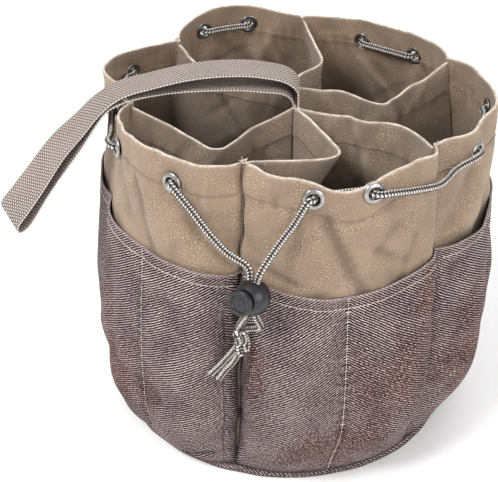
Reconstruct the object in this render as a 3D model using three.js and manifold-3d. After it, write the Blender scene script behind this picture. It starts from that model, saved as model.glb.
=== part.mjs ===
// Drawstring tool bucket organizer: a soft canvas bucket of six panels and six dividers, with outside
// pockets, a webbing handle at the centre, and a cord through twelve eyelets with a sprung cord lock.
// Millimetres, +Z up, origin on the floor at the centre of the base. The front seam faces -Y.
import * as THREE from "three";
import { mergeVertices } from "three/addons/utils/BufferGeometryUtils.js";
import Module from "manifold-3d";

const wasm = await Module();
wasm.setup();

// ---- Driving dimensions -------------------------------------------------------------------------
const RIM_HEIGHT = 265;
const BASE_RADIUS = 128;
const BELLY_RADIUS = 148;
const BELLY_HEIGHT = 85;
const RIM_RADIUS = 139;
const CLOTH = 1.6; // canvas thickness, two plies at the hems
const POCKET_CLOTH = 1.4;
const GAP = 0.35; // clearance that sewn neighbours keep from each other
const FACET_GAP = 0.6; // more clearance, where two curved cloths lie face to face or edge to face
const BASE_CLOTH = 1.5;

// The six seams anticlockwise from the front one, where a divider pulls the wall inwards. turn is how
// far the seam has strayed off the even spacing at the rim, and before and after how far the pull
// reaches either side, all in degrees. The pull grows with height to the power rise, up to depth.
const SEAMS = [
  { turn: 0, depth: 14, rise: 0.5, before: 13, after: 20 },
  { turn: 1, depth: 9, rise: 0.5, before: 6, after: 28 },
  { turn: 9, depth: 10, rise: 1, before: 12, after: 20 },
  { turn: 13, depth: 5, rise: 1, before: 14, after: 9 },
  { turn: 6, depth: 17, rise: 3, before: 16, after: 28 },
  { turn: 3, depth: 16, rise: 3, before: 18, after: 16 },
];

// The six lobes between the seams: how far the rim rises and how sharply, how far it leans out, where
// the two eyelets are across the lobe, and their height.
const LOBES = [
  { lift: -12, sharp: 8, out: 0, eyelets: [0.335, 0.6], eyeletHeight: 250 },
  { lift: 0, sharp: 2, out: 5, eyelets: [0.25, 0.68], eyeletHeight: 247 },
  { lift: 1, sharp: 2, out: -4, eyelets: [0.35, 0.68], eyeletHeight: 247 },
  { lift: 9, sharp: 2, out: 6, eyelets: [0.36, 0.67], eyeletHeight: 256 },
  { lift: 0, sharp: 2, out: 9.5, eyelets: [0.27, 0.8], eyeletHeight: 246 },
  { lift: 0, sharp: 2, out: 2, eyelets: [0.22, 0.67], eyeletHeight: 247 },
];
// Where the handle lies over the rim, the wall is pushed in near the top, and the rim pressed down.
const UNDER_STRAP = {
  lobe: 4,
  pushed: { at: 0.76, width: 0.13, depth: 20, rise: 6 },
  pressed: { at: 0.84, width: 0.14, depth: 9 },
};
const POCKET_TOP_AT_SEAM = [185, 188, 190, 186, 190, 190];
const POCKET_TOP_LIFT = [-10, 3, -3, -3, 2, 1];
const POCKET_GAPE = 10; // how far a pocket stands off the wall
const POCKET_OPENS = [4, 55]; // the heights between which it comes to stand off

const EYELET = { bore: 4.0, barrel: 4.6, flange: 7.3, sheet: 0.7, stand: 1.9 };

const CORD_RADIUS = 2.5;
const CORD_SIDES = 8;
const DIVIDER_BELOW_RIM = 3; // where a divider's top edge meets its seam

// The top edge of each divider at a quarter, half and three quarters of the way out from the centre:
// how far it stands off the straight line (anticlockwise +), and how far it dips.
const DIVIDER_EDGES = [
  { aside: [36, 42, 0], dip: [9, 9, 8] },
  { aside: [16, 18, 22], dip: [6, 2, 6] },
  { aside: [2, -20, -8], dip: [9, 14, 10] },
  { aside: [-2, -15, -9], dip: [6, 6, 4] },
  { aside: [-12, -4, 3], dip: [8, 10, 10] },
  { aside: [0, 26, 5], dip: [17, 20, 12] },
];

// A panel stands across the centre. Three dividers meet at each of its edges.
const CENTRE = { facing: 196, halfWidth: 15.5, top: 254, joinAt: 16.6, dividersFrom: 2.4 };
const HANDLE = {
  width: 30,
  cloth: 1.8,
  sewnFrom: 200,
  sewnTo: 255,
  fromHeading: 196,
  toHeading: 211,
  slope: 50, // degrees, of the part that hangs down outside
  bends: [120, 165], // how far out it bends from level to that slope
  twist: 25, // degrees, at its fold
  twists: [110, 215],
};

const LOCK = {
  centre: new THREE.Vector3(17.5, -159.5, 186),
  ball: 12,
  lean: 14, // degrees that the cord line leans towards the bag
  facing: 254, // degrees, where the button points
  face: 9.6,
  boreRadius: 7.3,
  boreEnd: -9.2,
  plunger: 7.0,
  plungerInner: -4.6,
  capFrom: 12.9,
  capTo: 16,
  capRadius: 8.8,
  slotHalfWidth: 5.8,
  slotHalfHeight: 2.9,
  travel: 3,
};
const STRAND_OFFSET = 2.8; // half the spacing of the two strands inside the lock

const KNOT_CENTRE = new THREE.Vector3(8, -155, 143);

// ---- Materials ----------------------------------------------------------------------------------
const canvasTan = new THREE.MeshStandardMaterial({ color: 0x9c8166, roughness: 0.95, metalness: 0 });
const pocketBrown = new THREE.MeshStandardMaterial({ color: 0x6f5450, roughness: 0.9, metalness: 0 });
const webbing = new THREE.MeshStandardMaterial({ color: 0xa8968c, roughness: 0.85, metalness: 0 });
const cordGrey = new THREE.MeshStandardMaterial({ color: 0x8d867e, roughness: 0.8, metalness: 0 });
const nickel = new THREE.MeshStandardMaterial({ color: 0xb9b8b4, roughness: 0.3, metalness: 1 });
const blackPlastic = new THREE.MeshStandardMaterial({ color: 0x22242a, roughness: 0.4, metalness: 0 });

const bag = new THREE.Group();

function addPiece(name, geometry, material) {
  const mesh = new THREE.Mesh(geometry, material);
  mesh.name = name;
  bag.add(mesh);
  return mesh;
}

// ---- Geometry helpers ---------------------------------------------------------------------------
const degrees = THREE.MathUtils.degToRad;
const lerp = THREE.MathUtils.lerp;
const humped = (u) => Math.sin(Math.PI * u) ** 2;

function polar(angle, radius, z) {
  return new THREE.Vector3(radius * Math.cos(degrees(angle)), radius * Math.sin(degrees(angle)), z);
}

// A closed solid between two surfaces that share a grid: front(u, v) faces out, back(u, v) faces in.
function closedSheet(front, back, columns, rows) {
  const positions = [];
  const index = [];
  const put = (p) => positions.push(p.x, p.y, p.z);
  for (const face of [front, back])
    for (let j = 0; j <= rows; j++)
      for (let i = 0; i <= columns; i++) put(face(i / columns, j / rows));
  const layer = (columns + 1) * (rows + 1);
  const at = (side, i, j) => side * layer + j * (columns + 1) + i;
  const quad = (a, b, c, d) => index.push(a, b, c, a, c, d);
  for (let j = 0; j < rows; j++)
    for (let i = 0; i < columns; i++) {
      quad(at(0, i, j), at(0, i + 1, j), at(0, i + 1, j + 1), at(0, i, j + 1));
      quad(at(1, i, j), at(1, i, j + 1), at(1, i + 1, j + 1), at(1, i + 1, j));
    }
  for (let i = 0; i < columns; i++) {
    quad(at(1, i, 0), at(1, i + 1, 0), at(0, i + 1, 0), at(0, i, 0));
    quad(at(0, i, rows), at(0, i + 1, rows), at(1, i + 1, rows), at(1, i, rows));
  }
  for (let j = 0; j < rows; j++) {
    quad(at(1, 0, j), at(0, 0, j), at(0, 0, j + 1), at(1, 0, j + 1));
    quad(at(0, columns, j), at(1, columns, j), at(1, columns, j + 1), at(0, columns, j + 1));
  }
  const geometry = new THREE.BufferGeometry();
  geometry.setAttribute("position", new THREE.Float32BufferAttribute(positions, 3));
  geometry.setIndex(index);
  return geometry;
}

function solid(geometry) {
  const bare = geometry.clone();
  bare.deleteAttribute("normal");
  bare.deleteAttribute("uv");
  const merged = mergeVertices(bare, 1e-3);
  return new wasm.Manifold(
    new wasm.Mesh({
      numProp: 3,
      vertProperties: merged.attributes.position.array,
      triVerts: new Uint32Array(merged.index.array),
    }),
  );
}

function fromSolid(made) {
  const mesh = made.getMesh();
  const geometry = new THREE.BufferGeometry();
  geometry.setAttribute("position", new THREE.BufferAttribute(mesh.vertProperties, 3));
  geometry.setIndex(new THREE.BufferAttribute(mesh.triVerts, 1));
  return geometry;
}

// A cylinder of that radius whose axis runs along direction, centred on a point.
function cylinderAlong(centre, direction, radius, length, sides) {
  const turn = new THREE.Quaternion().setFromUnitVectors(new THREE.Vector3(0, 1, 0), direction);
  return new THREE.CylinderGeometry(radius, radius, length, sides)
    .applyQuaternion(turn)
    .translate(centre.x, centre.y, centre.z);
}

function turned(profile, sides, centre, direction) {
  const turn = new THREE.Quaternion().setFromUnitVectors(new THREE.Vector3(0, 1, 0), direction);
  return new THREE.LatheGeometry(profile.map(([r, h]) => new THREE.Vector2(r, h)), sides)
    .applyQuaternion(turn)
    .translate(centre.x, centre.y, centre.z);
}

// A round cord through the points, with one step from each point to the next times finer.
function cordAlong(points, radius, sides, finer) {
  const section = new THREE.Shape();
  for (let i = 0; i < sides; i++) {
    const a = (2 * Math.PI * i) / sides;
    section[i ? "lineTo" : "moveTo"](radius * Math.cos(a), radius * Math.sin(a));
  }
  section.closePath();
  const route = new THREE.CatmullRomCurve3(points, false, "centripetal");
  route.getUtoTmapping = (u) => u; // steps fall on the points, so tight bends keep their shape
  const steps = (points.length - 1) * finer;
  return new THREE.ExtrudeGeometry(section, { steps, bevelEnabled: false, extrudePath: route });
}

// ---- Shape of the bucket ------------------------------------------------------------------------
const seamOf = (k) => SEAMS[k % SEAMS.length];

function seamAngle(k, z) {
  return -90 + (360 / SEAMS.length) * k + seamOf(k).turn * (z / RIM_HEIGHT) ** 1.5;
}

function roundRadius(z) {
  const [end, share] =
    z < BELLY_HEIGHT
      ? [BASE_RADIUS, 1 - z / BELLY_HEIGHT]
      : [RIM_RADIUS, (z - BELLY_HEIGHT) / (RIM_HEIGHT - BELLY_HEIGHT)];
  return BELLY_RADIUS - (BELLY_RADIUS - end) * share ** 2;
}

// How deep a dent under the strap is in lobe k at u.
function underStrap(k, u, { at, width, depth }) {
  return k === UNDER_STRAP.lobe ? depth * Math.exp(-(((u - at) / width) ** 2)) : 0;
}

// The outer face of the wall in lobe k, u from one seam (0) to the next (1).
function wallAt(k, u, z) {
  const from = seamAngle(k, z);
  const to = seamAngle(k + 1, z);
  const firstHalf = u < 0.5;
  const seam = seamOf(firstHalf ? k : k + 1);
  const offSeam = (firstHalf ? u : 1 - u) * (to - from);
  const pull = Math.max(0, 1 - offSeam / (firstHalf ? seam.after : seam.before)) ** 2;
  const height = z / RIM_HEIGHT;
  const leaning = LOBES[k].out * humped(u) * height ** 2;
  const { pushed } = UNDER_STRAP;
  const dent = underStrap(k, u, pushed) * height ** pushed.rise;
  const radius = roundRadius(z) - seam.depth * height ** seam.rise * pull + leaning - dent;
  return { angle: lerp(from, to, u), radius };
}

function onWall(k, u, z) {
  const wall = wallAt(k, u, z);
  return polar(wall.angle, wall.radius, z);
}

function rimHeight(k, u) {
  const lifted = LOBES[k].lift * Math.abs(Math.sin(Math.PI * u)) ** LOBES[k].sharp;
  return RIM_HEIGHT + lifted - underStrap(k, u, UNDER_STRAP.pressed);
}

function pocketTop(k, u) {
  const seams = lerp(POCKET_TOP_AT_SEAM[k], POCKET_TOP_AT_SEAM[(k + 1) % SEAMS.length], u);
  return seams + POCKET_TOP_LIFT[k] * humped(u);
}

// Two pockets side by side in each lobe, sewn down at the seams and halfway between them.
function pocketStandOff(u, z) {
  const opened = THREE.MathUtils.smoothstep(z, ...POCKET_OPENS);
  return POCKET_GAPE * opened * Math.sin(2 * Math.PI * u) ** 2;
}

// ---- Eyelets' places: where each one sits, the way it faces, and the way the wall runs past it ----
const eyelets = [];
LOBES.forEach((lobe, k) => {
  for (const u of lobe.eyelets) {
    const z = lobe.eyeletHeight;
    const along = onWall(k, u + 0.05, z).sub(onWall(k, u - 0.05, z)).normalize();
    const rise = onWall(k, u, z + EYELET.flange).sub(onWall(k, u, z - EYELET.flange));
    const out = along.clone().cross(rise).normalize();
    const centre = onWall(k, u, z).addScaledVector(out, -CLOTH / 2);
    eyelets.push({ lobe: k, centre, out, along });
  }
});

// ---- Canvas wall panels -------------------------------------------------------------------------
const WALL_GRID = [12, 10]; // columns and rows of facets
const WALL_FOOT = 2;
const SEAM_INSET = 0.0016; // share of a lobe left open at each seam, about a quarter of a millimetre

for (let k = 0; k < SEAMS.length; k++) {
  const face = (inset) => (u, v) => {
    const across = lerp(SEAM_INSET, 1 - SEAM_INSET, u);
    const z = lerp(WALL_FOOT, rimHeight(k, across), v);
    const wall = wallAt(k, across, z);
    return polar(wall.angle, wall.radius - inset, z);
  };
  let panel = solid(closedSheet(face(0), face(CLOTH), ...WALL_GRID));
  for (const { lobe, centre, out } of eyelets) {
    if (lobe === k) {
      panel = panel.subtract(solid(cylinderAlong(centre, out, EYELET.barrel + GAP, 12, 10)));
    }
  }
  addPiece(`canvas_panel_${k + 1}`, fromSolid(panel), canvasTan);
}

// ---- Outside pocket panels ----------------------------------------------------------------------
const POCKET_GRID = [16, 8];
const POCKET_FOOT = 2;

for (let k = 0; k < SEAMS.length; k++) {
  const face = (outer) => (u, v) => {
    const across = lerp(SEAM_INSET, 1 - SEAM_INSET, u);
    const z = lerp(POCKET_FOOT, pocketTop(k, across), v);
    const wall = wallAt(k, across, z);
    const stand = FACET_GAP + pocketStandOff(across, z) + (outer ? POCKET_CLOTH : 0);
    return polar(wall.angle, wall.radius + stand, z);
  };
  addPiece(`pocket_panel_${k + 1}`, closedSheet(face(true), face(false), ...POCKET_GRID), pocketBrown);
}

// ---- Centre panel, with the two webbing ends sewn to its faces ----------------------------------
const DIVIDER_FOOT = 3.8;

// A flat upright piece across the centre, its middle standing off the centre line by that much.
function acrossCentre(thickness, width, low, high, offset) {
  return new THREE.BoxGeometry(thickness, width, high - low)
    .translate(offset, 0, (low + high) / 2)
    .rotateZ(degrees(CENTRE.facing));
}

addPiece("centre_panel", acrossCentre(CLOTH, 2 * CENTRE.halfWidth, DIVIDER_FOOT, CENTRE.top, 0), canvasTan);
const endOffset = (CLOTH + HANDLE.cloth) / 2 + GAP;
for (const [name, side] of [["near", 1], ["far", -1]]) {
  const { cloth, width, sewnFrom, sewnTo } = HANDLE;
  addPiece(`handle_end_${name}`, acrossCentre(cloth, width, sewnFrom, sewnTo, side * endOffset), webbing);
}

// ---- Dividers -----------------------------------------------------------------------------------
const DIVIDER_GRID = [12, 8];

DIVIDER_EDGES.forEach(({ aside, dip }, k) => {
  const inFront = k < 2 || k === SEAMS.length - 1;
  const join = polar(CENTRE.facing + (inFront ? 90 : -90), CENTRE.joinAt, 0);
  const edge = new THREE.SplineCurve([
    new THREE.Vector2(0, 0),
    ...aside.map((off, i) => new THREE.Vector2(off, dip[i])),
    new THREE.Vector2(0, 0),
  ]);
  const middle = (t, h) => {
    const { x: off, y: down } = edge.getPoint(t);
    const z = lerp(DIVIDER_FOOT, lerp(CENTRE.top, RIM_HEIGHT - DIVIDER_BELOW_RIM, t) - down, h);
    const wall = wallAt(k, 0, z);
    const seam = polar(wall.angle, wall.radius - CLOTH - GAP - FACET_GAP, 0);
    const way = seam.clone().sub(join).normalize();
    const start = join.clone().addScaledVector(way, CENTRE.dividersFrom);
    const left = new THREE.Vector3(-way.y, way.x, 0);
    return start.lerp(seam, t).addScaledVector(left, off * h ** 2).setZ(z);
  };
  const face = (side) => (t, h) => {
    const step = 0.01;
    const run = middle(Math.min(t + step, 1), h).sub(middle(Math.max(t - step, 0), h)).setZ(0).normalize();
    return middle(t, h).addScaledVector(new THREE.Vector3(-run.y, run.x, 0), (side * CLOTH) / 2);
  };
  addPiece(`divider_${k + 1}`, closedSheet(face(-1), face(1), ...DIVIDER_GRID), canvasTan);
});

// ---- Base ---------------------------------------------------------------------------------------
const BASE_SIDES = 48;
const BASE_DISC_RADIUS = 131;
const LINING_RADIUS = 124;
const BINDING = { inner: 133.6, outer: 135.8, top: 6 };
const UP = new THREE.Vector3(0, 1, 0);

function standing(geometry) {
  return geometry.rotateX(Math.PI / 2);
}

addPiece(
  "base_disc",
  standing(new THREE.CylinderGeometry(BASE_DISC_RADIUS, BASE_DISC_RADIUS, BASE_CLOTH, BASE_SIDES)).translate(
    0,
    0,
    BASE_CLOTH / 2,
  ),
  pocketBrown,
);
addPiece(
  "base_lining",
  standing(new THREE.CylinderGeometry(LINING_RADIUS, LINING_RADIUS, BASE_CLOTH, BASE_SIDES)).translate(
    0,
    0,
    1.5 * BASE_CLOTH + GAP,
  ),
  canvasTan,
);
addPiece(
  "base_binding",
  standing(
    turned(
      [
        [BINDING.inner, 0],
        [BINDING.outer, 0],
        [BINDING.outer, BINDING.top],
        [BINDING.inner, BINDING.top],
        [BINDING.inner, 0],
      ],
      BASE_SIDES,
      new THREE.Vector3(),
      UP,
    ),
  ),
  pocketBrown,
);

// ---- Eyelets: a grommet from outside, its washer inside -----------------------------------------
eyelets.forEach(({ centre, out }, i) => {
  const number = String(i + 1).padStart(2, "0");
  const { bore, barrel, flange, sheet, stand } = EYELET;
  const grommet = [
    [bore, -stand - sheet],
    [barrel, -stand - sheet],
    [barrel, stand],
    [flange, stand],
    [flange - 1, stand + sheet],
    [bore, stand + sheet],
    [bore, -stand - sheet],
  ];
  const washer = [
    [barrel + GAP, -stand - sheet],
    [flange, -stand - sheet],
    [flange, -stand],
    [barrel + GAP, -stand],
    [barrel + GAP, -stand - sheet],
  ];
  addPiece(`eyelet_${number}`, turned(grommet, 12, centre, out), nickel);
  addPiece(`eyelet_washer_${number}`, turned(washer, 12, centre, out), nickel);
});

// ---- Drawstring ---------------------------------------------------------------------------------
// Through an eyelet the cord leans along the wall: the steps out from the cloth, and along it.
const LEAN_THROUGH = [
  [-5.8, -9.5],
  [-5.3, -3.4],
  [-3.0, -0.3],
  [3.0, 0.3],
  [5.3, 3.4],
  [5.8, 9.5],
];
const OUTSIDE_SAG = 5;
const OUTSIDE_CLEAR = 4.2; // from the wall's outer face to the middle of the cord

function throughEyelet({ centre, out, along }, outwards) {
  const way = outwards ? 1 : -1;
  return LEAN_THROUGH.map(([o, a]) =>
    centre.clone().addScaledVector(out, o * way).addScaledVector(along, a),
  );
}

// How far out the wall's outer face is, in that direction and at that height.
function wallRadius(direction, z) {
  for (let k = 0; ; k++) {
    const from = seamAngle(k, z);
    const u = THREE.MathUtils.euclideanModulo(direction - from, 360) / (seamAngle(k + 1, z) - from);
    if (u <= 1) return wallAt(k, u, z).radius;
  }
}

// Outside, the cord sags from one eyelet to the next, and goes round the wall where it is in the way.
function outsideRun(start, end) {
  return [0.25, 0.5, 0.75].map((share) => {
    const p = start.clone().lerp(end, share);
    p.z -= OUTSIDE_SAG * humped(share);
    const direction = THREE.MathUtils.radToDeg(Math.atan2(p.y, p.x));
    return polar(direction, Math.max(Math.hypot(p.x, p.y), wallRadius(direction, p.z) + OUTSIDE_CLEAR), p.z);
  });
}

const ring = [];
eyelets.forEach((eyelet, i) => {
  const last = eyelets.length - 1;
  const outwards = i % 2 === 1;
  const run = throughEyelet(eyelet, outwards);
  if (i === 0) {
    ring.push(eyelet.centre.clone(), ...run.slice(3));
  } else if (i === last) {
    ring.push(...run.slice(0, 3), eyelet.centre.clone());
  } else {
    ring.push(...run);
  }
  if (outwards && i < last) {
    ring.push(...outsideRun(run.at(-1), throughEyelet(eyelets[i + 1], false)[0]));
  }
});
addPiece("drawstring", cordAlong(ring, CORD_RADIUS, CORD_SIDES, 1), cordGrey);

// ---- Cord lock ----------------------------------------------------------------------------------
// In the lock's own frame the strands run along +Z and the button faces -Y.
const lockUp = new THREE.Vector3(0, Math.sin(degrees(LOCK.lean)), Math.cos(degrees(LOCK.lean)));
const lockFacing = polar(LOCK.facing, 1, 0);
lockFacing.addScaledVector(lockUp, -lockFacing.dot(lockUp)).normalize();
const lockSide = lockUp.clone().cross(lockFacing);
const lockFrame = new THREE.Matrix4()
  .makeBasis(lockSide, lockFacing.clone().negate(), lockUp)
  .setPosition(LOCK.centre);

function inLock(x, y, z) {
  return new THREE.Vector3(x, y, z).applyMatrix4(lockFrame);
}

// The slot that both strands pass through, from the button end at low y to high y.
function strandSlot(low, high) {
  const slot = new THREE.BoxGeometry(2 * LOCK.slotHalfWidth, high - low, 4 * LOCK.ball);
  return solid(slot.translate(0, (low + high) / 2, 0));
}

function cylinderY(radius, low, high, sides) {
  const upright = new THREE.CylinderGeometry(radius, radius, high - low, sides);
  return solid(upright.translate(0, (low + high) / 2, 0));
}

const { ball, face, boreRadius, boreEnd, plunger, plungerInner, slotHalfHeight, travel } = LOCK;
const lockSlot = strandSlot(-slotHalfHeight, slotHalfHeight);
const lockBody = solid(new THREE.SphereGeometry(ball, 20, 14))
  .subtract(solid(new THREE.BoxGeometry(3 * ball, ball, 3 * ball).translate(0, -face - ball / 2, 0)))
  .subtract(cylinderY(boreRadius, -2 * ball, -boreEnd, 20))
  .subtract(lockSlot);
addPiece("cord_lock_body", fromSolid(lockBody).applyMatrix4(lockFrame), blackPlastic);

const buttonCap = cylinderY(LOCK.capRadius, -LOCK.capTo, -LOCK.capFrom, 24);
const buttonBody = cylinderY(plunger, -LOCK.capFrom - 1, -plungerInner, 20)
  .add(buttonCap)
  .subtract(strandSlot(-slotHalfHeight - travel, slotHalfHeight));
addPiece("cord_lock_button", fromSolid(buttonBody).applyMatrix4(lockFrame), blackPlastic);

const SPRING = { radius: 4.2, wire: 0.4, turns: 2.5, stepsPerTurn: 12, clear: 0.2 };
const springFrom = -plungerInner + SPRING.wire + SPRING.clear;
const springTo = -boreEnd - SPRING.wire - SPRING.clear;
const springCurve = [];
for (let i = 0; i <= SPRING.turns * SPRING.stepsPerTurn; i++) {
  const share = i / (SPRING.turns * SPRING.stepsPerTurn);
  const a = 2 * Math.PI * SPRING.turns * share;
  const y = lerp(springFrom, springTo, share);
  springCurve.push(inLock(SPRING.radius * Math.cos(a), y, SPRING.radius * Math.sin(a)));
}
addPiece("cord_lock_spring", cordAlong(springCurve, SPRING.wire, 6, 1), nickel);

// ---- The two free strands, from the front eyelets through the lock to the knot -------------------
const KNOT = { radius: 8.5, height: 9.5, flatness: 0.85, lean: -20 };
const MOUTH = { out: 0.6, along: 0.33 }; // where a strand starts, off the middle of its eyelet
const SPREAD_ABOVE_LOCK = { height: 7, times: 1.8 };

function strand(eyelet, side, over, under) {
  const way = side > 0 ? -1 : 1;
  const leave = throughEyelet(eyelet, side < 0);
  const start = side < 0 ? leave.slice(3) : leave.slice(0, 3).reverse();
  const mouth = eyelet.centre.clone().addScaledVector(eyelet.out, MOUTH.out);
  mouth.addScaledVector(eyelet.along, MOUTH.along * way);
  const x = side * STRAND_OFFSET;
  return [
    mouth,
    ...start.slice(0, 2),
    ...over.map((p) => new THREE.Vector3(...p)),
    inLock(SPREAD_ABOVE_LOCK.times * x, 0, ball + SPREAD_ABOVE_LOCK.height),
    inLock(x, 0, ball),
    inLock(x, 0, 0),
    inLock(x, 0, -ball),
    ...under.map((p) => new THREE.Vector3(...p)),
    new THREE.Vector3(KNOT_CENTRE.x + 1 + x, KNOT_CENTRE.y, KNOT_CENTRE.z + KNOT.height + 3.2),
  ];
}

const leftOver = [
  [-30, -143, 234],
  [-16, -147, 220.5],
  [-3, -149.5, 210],
];
const rightOver = [
  [39.5, -141, 235],
  [30.5, -146, 220],
];
const rightUnder = [[22.5, -159.5, 163.5]];
const leftCord = strand(eyelets.at(-1), -1, leftOver, []);
const rightCord = strand(eyelets[0], 1, rightOver, rightUnder);
addPiece("cord_left", cordAlong(leftCord, CORD_RADIUS, CORD_SIDES, 2), cordGrey);
addPiece("cord_right", cordAlong(rightCord, CORD_RADIUS, CORD_SIDES, 2), cordGrey);

// The knot that ties both strands, with their two cut ends.
let knot = solid(
  new THREE.SphereGeometry(1, 12, 8)
    .scale(KNOT.radius, KNOT.radius * KNOT.flatness, KNOT.height)
    .rotateY(degrees(KNOT.lean))
    .translate(KNOT_CENTRE.x, KNOT_CENTRE.y, KNOT_CENTRE.z),
);
for (const side of [-1, 1]) {
  const x = side * STRAND_OFFSET;
  const end = [
    new THREE.Vector3(KNOT_CENTRE.x - 1 + x * 0.6, KNOT_CENTRE.y, KNOT_CENTRE.z - 3),
    new THREE.Vector3(KNOT_CENTRE.x - 8 + x, KNOT_CENTRE.y + 1, KNOT_CENTRE.z - 17),
    new THREE.Vector3(KNOT_CENTRE.x - 21 + x * 1.1, KNOT_CENTRE.y + 1.5, KNOT_CENTRE.z - 37),
  ];
  knot = knot.add(solid(cordAlong(end, CORD_RADIUS, CORD_SIDES, 3)));
}
addPiece("cord_knot", fromSolid(knot), cordGrey);

// ---- Webbing handle -----------------------------------------------------------------------------
// Its side view: distance out from the centre line, and height.
const HANDLE_LOOP = [
  [-2, 256.2],
  [-1.2, 264.5],
  [7, 271.5],
  [25, 275.5],
  [50, 277.5],
  [78, 276],
  [106, 272],
  [128, 267],
  [145, 257],
  [159, 244],
  [175, 229.5],
  [191, 212],
  [207, 193],
  [216, 181.5],
  [214.8, 178],
  [209.5, 179.5],
  [193, 199],
  [177, 217],
  [160, 236],
  [149, 249],
  [138, 259.5],
  [124, 264],
  [90, 266.5],
  [50, 266.5],
  [25, 264.5],
  [8, 262],
  [2, 256.2],
];

const loopCurve = new THREE.SplineCurve(HANDLE_LOOP.map(([s, z]) => new THREE.Vector2(s, z)));
const LOOP_STEPS = 60;
const outerSide = [];
const innerSide = [];
for (let i = 0; i <= LOOP_STEPS; i++) {
  const p = loopCurve.getPoint(i / LOOP_STEPS);
  const way = loopCurve.getTangent(i / LOOP_STEPS);
  const across = new THREE.Vector2(-way.y, way.x).multiplyScalar(HANDLE.cloth / 2);
  outerSide.push(p.clone().add(across));
  innerSide.push(p.clone().sub(across));
}
const loopShape = new THREE.Shape([...outerSide, ...innerSide.reverse()]);
const loop = new THREE.ExtrudeGeometry(loopShape, { depth: HANDLE.width, bevelEnabled: false, steps: 1 })
  .translate(0, 0, -HANDLE.width / 2)
  .rotateX(Math.PI / 2);

// The loop veers a little as it goes out, from the way its ends face to the way its fold points, and
// the part that hangs down outside is twisted, which lowers its edge nearest to the front.
const reach = Math.max(...HANDLE_LOOP.map(([s]) => s));
const place = loop.attributes.position;
for (let i = 0; i < place.count; i++) {
  const s = place.getX(i);
  const heading = lerp(HANDLE.fromHeading, HANDLE.toHeading, THREE.MathUtils.clamp(s / reach, 0, 1));
  const slope = degrees(HANDLE.slope * THREE.MathUtils.smoothstep(s, ...HANDLE.bends));
  const twist = degrees(HANDLE.twist * THREE.MathUtils.smoothstep(s, ...HANDLE.twists));
  const across = polar(heading + 90, Math.cos(twist), 0)
    .addScaledVector(polar(heading, 1, 0), -Math.sin(slope) * Math.sin(twist))
    .addScaledVector(new THREE.Vector3(0, 0, 1), -Math.cos(slope) * Math.sin(twist));
  const p = polar(heading, s, place.getZ(i)).addScaledVector(across, place.getY(i));
  place.setXYZ(i, p.x, p.y, p.z);
}
loop.computeVertexNormals();
addPiece("handle_webbing", loop, webbing);

export default bag;
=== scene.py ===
"""A drawstring tool bucket organizer: the soft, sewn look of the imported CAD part.

Metres, +Z up, in the frame of the CAD part. The front seam faces -Y.
"""
import math

import bmesh
import bpy
import numpy as np
from mathutils import Matrix, Vector


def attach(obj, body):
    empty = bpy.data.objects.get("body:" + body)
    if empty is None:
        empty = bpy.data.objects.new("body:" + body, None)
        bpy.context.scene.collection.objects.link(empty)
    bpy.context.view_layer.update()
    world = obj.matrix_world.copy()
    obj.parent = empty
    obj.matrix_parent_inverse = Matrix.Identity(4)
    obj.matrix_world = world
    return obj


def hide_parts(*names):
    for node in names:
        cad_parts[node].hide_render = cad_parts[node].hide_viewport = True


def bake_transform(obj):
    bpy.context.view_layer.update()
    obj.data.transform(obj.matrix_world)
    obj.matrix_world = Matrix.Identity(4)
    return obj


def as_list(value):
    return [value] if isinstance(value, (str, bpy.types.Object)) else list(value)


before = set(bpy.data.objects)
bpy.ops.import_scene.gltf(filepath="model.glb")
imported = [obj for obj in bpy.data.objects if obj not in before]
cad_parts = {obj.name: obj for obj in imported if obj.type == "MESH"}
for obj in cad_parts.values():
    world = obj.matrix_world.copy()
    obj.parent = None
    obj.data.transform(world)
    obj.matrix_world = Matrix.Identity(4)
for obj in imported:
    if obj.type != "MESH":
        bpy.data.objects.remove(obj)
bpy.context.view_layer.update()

UP = np.array([0, 0, 1.0])


# ---- Camera ----
CAMERA = dict(lens=78.3, sensor=36, place=(0.1885, -0.7034, 0.6007))
CAMERA_FORWARD = Vector((-0.2547, 0.7983, -0.5455)).normalized()
CAMERA_RIGHT = Vector((0.9527, 0.3039, 0)).normalized()


def make_camera():
    data = bpy.data.cameras.new("camera")
    data.sensor_width, data.lens = CAMERA["sensor"], CAMERA["lens"]
    camera = bpy.data.objects.new("camera", data)
    bpy.context.scene.collection.objects.link(camera)
    axes = Matrix((CAMERA_RIGHT, CAMERA_RIGHT.cross(CAMERA_FORWARD), -CAMERA_FORWARD)).transposed()
    camera.matrix_world = Matrix.Translation(CAMERA["place"]) @ axes.to_4x4()
    bpy.context.scene.camera = camera


make_camera()

# ---- The bucket's shape, the same as in the CAD part ----
RIM = 0.265
BASE_RADIUS = 0.128
BELLY_RADIUS = 0.148
BELLY_HEIGHT = 0.085
RIM_RADIUS = 0.139
LOBE_COUNT = 6

# Per seam: degrees it strays at the rim, depth of its pull, power of the pull's growth with height,
# degrees the pull reaches before it and after it.
SEAMS = [
    dict(turn=0, depth=0.014, rise=0.5, before=13, after=20),
    dict(turn=1, depth=0.009, rise=0.5, before=6, after=28),
    dict(turn=9, depth=0.010, rise=1, before=12, after=20),
    dict(turn=13, depth=0.005, rise=1, before=14, after=9),
    dict(turn=6, depth=0.017, rise=3, before=16, after=28),
    dict(turn=3, depth=0.016, rise=3, before=18, after=16),
]
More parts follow.
